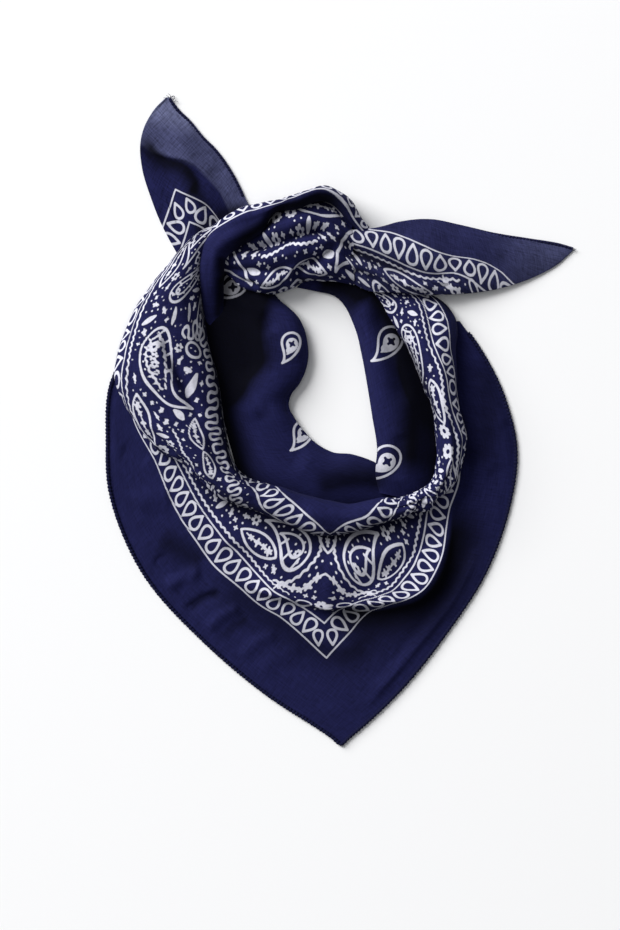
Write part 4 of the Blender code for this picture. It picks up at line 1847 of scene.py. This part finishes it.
        # Painted shade along the painted shade paths.
        painted_shade = painted_hollow_shade(points, self.right_painted_shades)
        return Sheet(points, flat, self.ink.at(flat[..., 0], flat[..., 1]), thin, painted_shade)

    def left_sheet(self) -> Sheet:
        """The left tail, laid flat with the cloth's corner at its tip; only its upper part is one layer.

        Returns:
            The sheet.
        """
        row = even_rows(self.left_rows, 0, 8, 230)
        points, share = self.grid(row, 130, (True, False))
        flat = FlatMap(self.left_borders).at(points[..., :2])
        rough = 0.5 * rumple(points[..., 0], points[..., 1], 26, 51)
        points = displaced(points, self.left_creases, rough * smoothstep(0, 0.12, 1 - share))
        fold_x = (-145, -135, -125, -114, -104, -94, -86, -74)
        fold_y = (201, 194, 191, 188, 184, 174, 165, 140)
        limit = np.interp(points[..., 0], fold_x, fold_y)
        # Painted light: the one-layer part above the fold line pales, most at the tip, standing in for the table's
        # light shining through.
        thin = smoothstep(-2.0, 2.5, points[..., 1] - limit)
        thin = thin * (0.36 + 0.62 * smoothstep(204, 226, points[..., 1] + 0.25 * (points[..., 0] + 120)))
        # Painted shade along the painted shade paths.
        painted_shade = painted_hollow_shade(points, self.left_painted_shades)
        return Sheet(points, flat, self.ink.at(flat[..., 0], flat[..., 1]), thin, painted_shade)


@dataclass
class Hems:
    """The overlocked edges: thread wound round the edge in small, slightly uneven loops."""

    flap: Table
    tails: Tails
    radius: float = 1.3
    pitch: float = 2.6
    turns: int = 10
    threads: Table = (
        # x, y, heading in degrees, length, bend
        (-121.6, 233.2, 78, 3.8, 0.9),
        (-121.2, 233.4, 62, 3.2, -1.1),
        (-122.6, 233.2, 104, 2.8, 0.8),
        (-120.0, 232.0, 24, 3.6, 1.2),
        (-119.0, 230.6, 34, 3.0, -0.8),
        (-124.4, 232.6, 128, 2.4, 0.7),
        (-121.0, 233.6, 92, 2.4, -1.6),
        (168.6, 123.4, -30, 3.2, 1.2),
        (168.8, 124.6, 12, 2.8, -1.4),
        (0.6, -234.0, -60, 2.6, 1.0),
    )

    def make(self, thread: bpy.types.Material) -> list[bpy.types.Object]:
        """Builds the four edges and the loose threads at the left tip.

        Args:
            thread: The thread's finish.

        Returns:
            The new pieces.
        """
        stretches = (
            ("edge_front_left", self.flap, 0.4, 8.96, 0, "hem_front_left", 1.0),
            ("edge_front_right", self.flap, 9.04, 17.6, 0, "hem_front_right", 1.0),
            ("edge_tail_left", self.tails.left_rows, 1.4, 7.95, 2, "hem_tail_left", 0.8),
            ("edge_tail_right", self.tails.right_rows, 5.6, 8.95, 0, "hem_tail_right", 0.8),
        )
        made = []
        for name, rows, first, last, edge, node, scale in stretches:
            row = even_rows(rows, first, last, 400)
            other = 2 - edge
            path = moved_in(row[:, edge : edge + 2], row[:, other : other + 2], self.radius)
            z = np.full(len(path), self.radius * scale + 0.12)
            if name == "edge_tail_right":
                z = np.maximum(z, row[:, 4] * 0.9)
            item = self.edge(name, np.column_stack([path, z]), self.radius * scale, thread)
            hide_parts(node)
            made.append(item)
        made.append(self.loose(thread))
        return made

    def loose(self, thread: bpy.types.Material) -> bpy.types.Object:
        """The ends of thread that stand out at the corners: thin tubes along short arcs.

        Args:
            thread: The thread finish.

        Returns:
            The new piece.
        """
        corners, quads = [], []
        for number, (x, y, heading, length, bend) in enumerate(self.threads):
            t = np.linspace(0, 1, 14)
            angle = np.radians(heading) + bend * 1.6 * t
            step = length / 13
            across, along = np.cumsum(np.cos(angle)) * step, np.cumsum(np.sin(angle)) * step
            line = np.stack([x + across, y + along, 1.0 + 0.9 * t], 1)
            side = np.stack([-np.sin(angle), np.cos(angle), 0 * t], 1)
            turn = np.linspace(0, 2 * np.pi, 5, endpoint=False)
            width = (0.24 * (1 - 0.5 * t))[:, None, None]
            ring = np.cos(turn)[None, :, None] * side[:, None] + np.sin(turn)[None, :, None] * np.array([0, 0, 1.0])
            index = number * 70 + np.arange(70).reshape(14, 5)
            beside = np.roll(index, -1, axis=1)
            corners.append((line[:, None] + width * ring).reshape(-1, 3))
            quads.append(np.stack([index[:-1], index[1:], beside[1:], beside[:-1]], axis=-1).reshape(-1, 4))
        item = bpy.data.objects.new("loose_threads", fill_mesh("loose_threads", np.vstack(corners), np.vstack(quads)))
        item.data.materials.append(thread)
        bpy.context.scene.collection.objects.link(item)
        return item

    def edge(self, name: str, path: Array, radius: float, thread: bpy.types.Material) -> bpy.types.Object:
        """One edge: a cord whose radius swells once in each loop of thread, leaning a little along the path.

        Args:
            name: Name of the piece.
            path: The cloth edge.
            radius: Radius of the winding.
            thread: The thread finish.

        Returns:
            The new piece.
        """
        step = np.linalg.norm(np.diff(path, axis=0), axis=1)
        length = np.concatenate([[0], np.cumsum(step)])
        count = int(length[-1] / self.pitch * 7)
        at = np.linspace(0, length[-1], count)
        line = np.stack([np.interp(at, length, path[:, k]) for k in range(3)], axis=1)
        along = np.gradient(line, axis=0)
        along /= np.linalg.norm(along, axis=1)[:, None]
        side = np.cross(along, [0, 0, 1.0])
        side /= np.linalg.norm(side, axis=1)[:, None]
        up = np.cross(side, along)
        turn = np.linspace(0, 2 * np.pi, self.turns, endpoint=False)[None, :]
        wave = np.abs(np.sin(np.pi * at[:, None] / self.pitch + 0.35 * np.sin(turn)))
        uneven = 1 + 0.06 * np.sin(at * 0.9) + 0.05 * np.sin(at * 2.3 + 1)
        round_ = radius * (0.74 + 0.42 * wave) * uneven[:, None]
        points = line[:, None] + round_[..., None] * (
            np.cos(turn)[..., None] * side[:, None] + 0.92 * np.sin(turn)[..., None] * up[:, None]
        )
        points[..., 2] = np.maximum(points[..., 2], 0.05)
        corner = np.arange(count * self.turns).reshape(count, self.turns)
        beside = np.roll(corner, -1, axis=1)
        quads = np.stack([corner[:-1], beside[:-1], beside[1:], corner[1:]], axis=-1).reshape(-1, 4)
        item = bpy.data.objects.new(name, fill_mesh(name, points.reshape(-1, 3), quads))
        item.data.materials.append(thread)
        bpy.context.scene.collection.objects.link(item)
        return item


# ---------------------------------------------------------------- the room


@dataclass
class Studio:
    """A white table under a large soft light, with the camera straight above."""

    centre: tuple[float, float] = (-20.9, -31.7)
    height: float = 2.2
    view_height: float = 0.6696

    def camera(self) -> None:
        """Places the camera."""
        data = bpy.data.cameras.new("camera")
        data.sensor_width = 36.0
        data.lens = 36.0 * (self.height - 0.008) / self.view_height
        item = bpy.data.objects.new("camera", data)
        item.location = (self.centre[0] * MM, self.centre[1] * MM, self.height)
        bpy.context.scene.collection.objects.link(item)
        bpy.context.scene.camera = item

    def light(self) -> None:
        """Places the lights and the world's fill."""
        self._area("window", (-8.1, 6.9, 6.8), 9.0, 2640.0)
        self._area("overhead", (-0.3, 0.3, 2.6), 1.6, 5.0)
        world = bpy.data.worlds.new("room")
        world.use_nodes = True
        world.node_tree.nodes["Background"].inputs["Color"].default_value = rgb(0.95, 0.97, 1.0)
        world.node_tree.nodes["Background"].inputs["Strength"].default_value = 0.22
        bpy.context.scene.world = world
        bpy.context.scene.view_settings.view_transform = "Standard"

    def _area(self, name: str, place: tuple[float, float, float], size: float, power: float) -> None:
        """A square light that faces the bandana.

        Args:
            name: Name of the light.
            place: Where it hangs, in metres.
            size: Side of the panel, in metres.
            power: In watts.
        """
        data = bpy.data.lights.new(name, "AREA")
        data.size, data.energy = size, power
        item = bpy.data.objects.new(name, data)
        item.location = place
        x, y, z = place
        item.rotation_euler = (0, math.atan2(math.hypot(x, y), z), math.atan2(y, x))
        bpy.context.scene.collection.objects.link(item)

    def table(self) -> None:
        """Lays the table."""
        corners = np.array([[-4000, -4000, 0], [4000, -4000, 0], [4000, 4000, 0], [-4000, 4000, 0]], dtype=float)
        mesh = fill_mesh("table", corners, np.array([[0, 1, 2, 3]]))
        mesh.materials.append(TableTop().make())
        item = bpy.data.objects.new("table", mesh)
        bpy.context.scene.collection.objects.link(item)


def declare(pieces: Sequence[bpy.types.Object]) -> None:
    """Every piece rides on the one body, and its face count is logged.

    Args:
        pieces: Objects that ride the body.
    """
    for piece in pieces:
        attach(piece, "root")
        LOG.info("%s: %d faces", piece.name, len(piece.data.polygons))


def main() -> None:
    """Builds the camera, the table and the light, then the cloth, and declares each piece."""
    logging.basicConfig(level=logging.INFO, format="%(name)s %(message)s")
    studio = Studio()
    studio.camera()
    studio.table()
    studio.light()
    cotton = PrintedCotton().make()
    sheer = PrintedCotton(name="navy_cotton_single_painted_light", streaks=1.5, thin=True).make()
    thread = HemThread().make()
    square = SquarePrint()
    flap = Flap(square)
    tails = Tails(square)
    cloth = [
        *Roll(square).make(cotton),
        *flap.make(cotton),
        *Neck(
            NeckPrint(((-36, 63, 196, 22, 0), (-26, 0, 186, 23, 0), (-70, 104, 140, 27, 0))),
            NeckPrint(((38, 68, 178, 29, 0), (37, -18, 168, 31, 0))),
        ).make(cotton),
        *Knot(square).make(cotton),
        *tails.make(sheer),
    ]
    edges = Hems(flap.rows, tails).make(thread)
    declare(cloth)
    declare(edges)
    total = sum(len(face.vertices) - 2 for piece in cloth + edges for face in piece.data.polygons)
    LOG.info("%d triangles in all", total)


if __name__ == "__main__":
    main()
